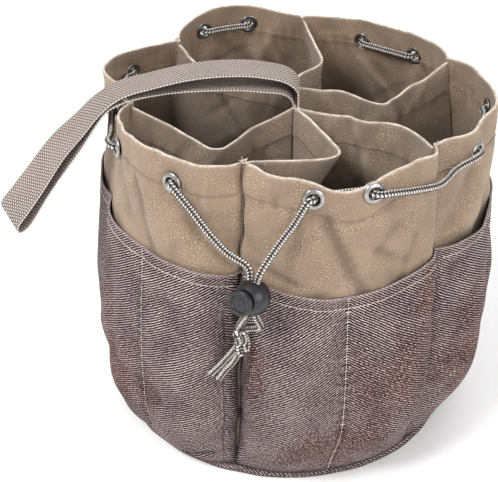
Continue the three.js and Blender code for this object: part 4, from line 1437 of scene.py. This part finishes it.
def slot_cutter(low, high):
    """A rounded slot along the strands, from low to high along the button's axis."""
    middle, half = (low + high) / 2, (high - low) / 2
    right = arc((SLOT_HALF_WIDTH - SLOT_ROUND, 0), SLOT_ROUND, -90, 90, 9)
    outline = [(x, y / SLOT_ROUND * half) for x, y in right]
    outline += [(-x, -y) for x, y in outline]
    points = [(x, y + middle, z) for z in (-0.03, 0.03) for x, y in outline]
    n = len(outline)
    faces = [list(range(n))[::-1], list(range(n, 2 * n))]
    faces += [[i, (i + 1) % n, (i + 1) % n + n, i + n] for i in range(n)]
    return new_object("slot_cutter", points, faces, None, BLACK)


def cut(obj, cutter):
    modifier = obj.modifiers.new("cut", "BOOLEAN")
    modifier.object, modifier.solver = cutter, "EXACT"
    bevel = obj.modifiers.new("soften", "BEVEL")
    bevel.width, bevel.segments, bevel.limit_method = 0.00025, 2, "ANGLE"
    bevel.angle_limit = math.radians(38)
    bpy.context.view_layer.update()
    mesh = bpy.data.meshes.new_from_object(obj.evaluated_get(bpy.context.evaluated_depsgraph_get()))
    obj.modifiers.clear()
    obj.data = mesh
    mesh.polygons.foreach_set("use_smooth", np.ones(len(mesh.polygons), bool))
    bpy.data.objects.remove(cutter)


def lock_lathe(name, profile, slot_low, slot_high):
    """Turned round the button's axis in the lock's frame, with the strands' slot cut through."""
    points, faces = lathe_mesh(profile, 72)
    points = points[:, [0, 2, 1]] * np.array([1, -1, 1])
    obj = new_object(name, points, faces, None, BLACK)
    weld(obj, 1e-6)
    face_out(obj)
    cut(obj, slot_cutter(slot_low, slot_high))
    obj.data.transform(
        Matrix.Translation(LOCK_CENTRE) @ Matrix((LOCK_SIDE, -LOCK_OUT, LOCK_UP)).transposed().to_4x4()
    )
    obj.data.set_sharp_from_angle(angle=math.radians(32))
    return obj


def make_lock():
    b = LOCK_BALL
    edge = math.degrees(math.asin((LOCK_FACE - 0.0006) / b))
    body_profile = [
        (AXIS, -b),
        *arc((0, 0), b, -89, -3, 30),
        (b + 0.00012, -0.00022),
        (b + 0.00012, 0.00022),
        *arc((0, 0), b, 3, edge, 18),
        *arc((BORE_RADIUS + 0.0004, LOCK_FACE - 0.0004), 0.0004, 60, 180, 6),
        (BORE_RADIUS, -BORE_END),
        (AXIS, -BORE_END),
    ]
    body = lock_lathe("lock_ball", body_profile, -SLOT_HALF_HEIGHT, SLOT_HALF_HEIGHT)
    start, end, wide = CAP["start"], CAP["end"], CAP["radius"]
    button_profile = [
        (AXIS, STEM_END),
        (STEM_RADIUS - 0.0002, STEM_END),
        (STEM_RADIUS - 0.0001, start - 0.0002),
        *arc((wide - 0.0005, start + 0.0005), 0.0005, -90, 0, 4),
        *arc((wide - 0.0011, end - 0.0011), 0.0011, 0, 90, 7),
        (wide - 0.0021, end),
        *arc((wide - 0.0021, end - 0.0005), 0.0005, 90, 170, 4),
        (wide - 0.0030, end - 0.0011),
        (wide * 0.4, end - 0.0007),
        (AXIS, end - 0.0006),
    ]
    # The button's slot is longer than the ball's, so that it still clears the strands when pressed.
    slot_low, slot_high = -SLOT_HALF_HEIGHT - TRAVEL - 0.0007, SLOT_HALF_HEIGHT + 0.0001
    button = lock_lathe("lock_button_cap", button_profile, slot_low, slot_high)
    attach(body, "cord_lock")
    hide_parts("cord_lock_body")
    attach(button, "lock_button")
    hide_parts("cord_lock_button")
    wire, radius, clear = SPRING["wire"], SPRING["radius"], SPRING["clear"]
    share = np.linspace(0, 1, 110)
    near, far = -STEM_END + wire + clear, BORE_END - wire - clear
    turned = zip(2 * np.pi * SPRING["turns"] * share, near + (far - near) * share)
    coil = np.array([in_lock(radius * math.cos(a), depth, radius * math.sin(a)) for a, depth in turned])
    points, faces = tube_mesh(coil, np.full((len(coil), 10), wire), 10)
    spring = new_object("lock_spring_wire", points, faces, None, STEEL)
    # The button presses the spring's near end, and the bore's end holds its far end.
    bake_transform(spring)
    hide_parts("cord_lock_spring")
    return body, button


LOCK_BODY, LOCK_BUTTON = make_lock()

# ---- Webbing handle ----
WEB_WIDTH = 0.030
WEB_HALF = 0.0009
RIB_PITCH, YARN_PITCH = 0.0024, 0.0021
HANDLE_REACH = 0.2160
HANDLE_VEER = 15
HANDLE_SLOPE, HANDLE_BENDS = 50, (0.120, 0.165)
HANDLE_TWIST, HANDLE_TWISTS = 25, (0.110, 0.215)
SEWN_FROM = 0.200
# The loop from the side, seen before it veers: (distance out, height).
HANDLE_LOOP = [
    (-0.0020, 0.2562), (-0.0012, 0.2645), (0.0070, 0.2715), (0.0250, 0.2755), (0.0500, 0.2775),
    (0.0780, 0.2760), (0.1060, 0.2720), (0.1280, 0.2670), (0.1450, 0.2570), (0.1590, 0.2440),
    (0.1750, 0.2295), (0.1910, 0.2120), (0.2070, 0.1930), (0.2160, 0.1815), (0.2148, 0.1780),
    (0.2095, 0.1795), (0.1930, 0.1990), (0.1770, 0.2170), (0.1600, 0.2360), (0.1490, 0.2490),
    (0.1380, 0.2595), (0.1240, 0.2640), (0.0900, 0.2665), (0.0500, 0.2665), (0.0250, 0.2645),
    (0.0080, 0.2620), (0.0020, 0.2562),
]


def make_handle():
    """One length of webbing: down one face of the centre panel, out over the rim and back."""
    side = [(-0.0020, SEWN_FROM), (-0.0020, 0.228), *HANDLE_LOOP, (0.0020, 0.228), (0.0020, SEWN_FROM)]
    line = evenly(through([(s, z, 0) for s, z in side], 16), 0.0006)
    length = run_lengths(line)
    way = np.gradient(line, axis=0)
    way /= np.linalg.norm(way, axis=1)[:, None]
    across = np.linspace(-1, 1, 58)
    v = across * WEB_WIDTH / 2
    s = length[:, None]
    ribs = 2 * np.pi * s / RIB_PITCH
    rib = 0.5 + 0.5 * np.cos(ribs + np.pi * (np.round(v / YARN_PITCH) % 2)[None])
    yarn = 0.5 + 0.5 * np.cos(2 * np.pi * v / YARN_PITCH)[None]
    selvedge = smooth_step(np.abs(across), 0.92, 0.99)[None]
    relief = rib * yarn * (1 - selvedge) + selvedge * (0.5 + 0.5 * np.cos(ribs))
    crown = WEB_HALF * np.sqrt(np.clip(1 - (np.abs(across) ** 14), 0, 1))[None]
    thick = crown * (0.74 + 0.34 * relief)
    wander = 0.0006 * np.sin(s / 0.021) + 0.0004 * np.sin(s / 0.009 + 1)
    width = v[None] * (1 + 0.008 * np.cos(ribs) * selvedge)
    width = width + wander * smooth_step(np.abs(line[:, :1]), 0.01, 0.04)

    def face(sign):
        lift = sign * thick
        out = line[:, :1] - way[:, 1:2] * lift
        z = line[:, 1:2] + way[:, :1] * lift
        heading = CENTRE_FACING + HANDLE_VEER * np.clip(out / HANDLE_REACH, 0, 1)
        slope = np.radians(HANDLE_SLOPE * smooth_step(out, *HANDLE_BENDS))
        twist = np.radians(HANDLE_TWIST * smooth_step(out, *HANDLE_TWISTS))
        ahead, aside = polar(heading, 1.0, 0.0), polar(heading + 90, 1.0, 0.0)
        sideways = aside * np.cos(twist)[..., None] - ahead * (np.sin(slope) * np.sin(twist))[..., None]
        sideways[..., 2] = -np.cos(slope) * np.sin(twist)
        return polar(heading, out, z) + sideways * width[..., None]

    points, faces, used = sheet_mesh(face(1), face(-1))
    lay = np.stack(np.broadcast_arrays(v[None], s, 40.0), -1).reshape(-1, 3)
    lay, tone = np.tile(lay, (2, 1))[used], np.tile(relief.ravel(), 2)[used]
    obj = new_object("webbing_strap", points, faces, None, WEBBING, lay, tone)
    face_out(obj)
    out = polar(CENTRE_FACING, 1.0, 0.0)
    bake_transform(obj)
    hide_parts("handle_webbing", "handle_end_near", "handle_end_far")


make_handle()


# ---- The free cords' lengths, worked out and not kept ----
def declare_strands():
    for above, above_line, below, below_line in STRANDS:
        for piece, line, far_end, lay, pieces in (
            (above, above_line, "fitting", "taut", [LOCK_BODY, LOCK_BUTTON]),
            (below, below_line, "knot", "hanging", KNOT),
        ):
            round(float(run_lengths(line)[-1]), 3)
            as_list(pieces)


declare_strands()


# ---- Floor and light ----
FLOOR_HALF = 6.0
WORLD_STRENGTH = 0.78
LIGHTS_AIM = 0, 0, 0.13
# Name, place, size and power.
LIGHTS = [
    ("key", (-0.8, -1.1, 1.7), 0.7, 34),
    ("fill", (1.5, -0.9, 1.0), 1.2, 17),
    ("rear", (0.3, 1.5, 1.6), 1.2, 10),
]


def make_stage():
    material = bpy.data.materials.new("floor_white")
    material.use_nodes = True
    shader = material.node_tree.nodes["Principled BSDF"]
    shader.inputs["Base Color"].default_value = (0.95, 0.95, 0.95, 1)
    shader.inputs["Roughness"].default_value = 0.9
    points = [(x * FLOOR_HALF, y * FLOOR_HALF, 0) for x, y in ((-1, -1), (1, -1), (1, 1), (-1, 1))]
    floor = new_object("floor", points, [[0, 1, 2, 3]], None, material)

    world = bpy.data.worlds.new("world")
    bpy.context.scene.world = world
    world.use_nodes = True
    background = world.node_tree.nodes["Background"]
    background.inputs["Color"].default_value = (1, 1, 1, 1)
    background.inputs["Strength"].default_value = WORLD_STRENGTH

    for name, place, size, power in LIGHTS:
        light = bpy.data.lights.new(name, "AREA")
        light.size, light.energy = size, power
        lamp = bpy.data.objects.new(name, light)
        bpy.context.scene.collection.objects.link(lamp)
        lamp.location = place
        aim = Vector(LIGHTS_AIM) - lamp.location
        lamp.rotation_euler = aim.to_track_quat("-Z", "Y").to_euler()
    bpy.context.scene.view_settings.view_transform = "Standard"


make_stage()
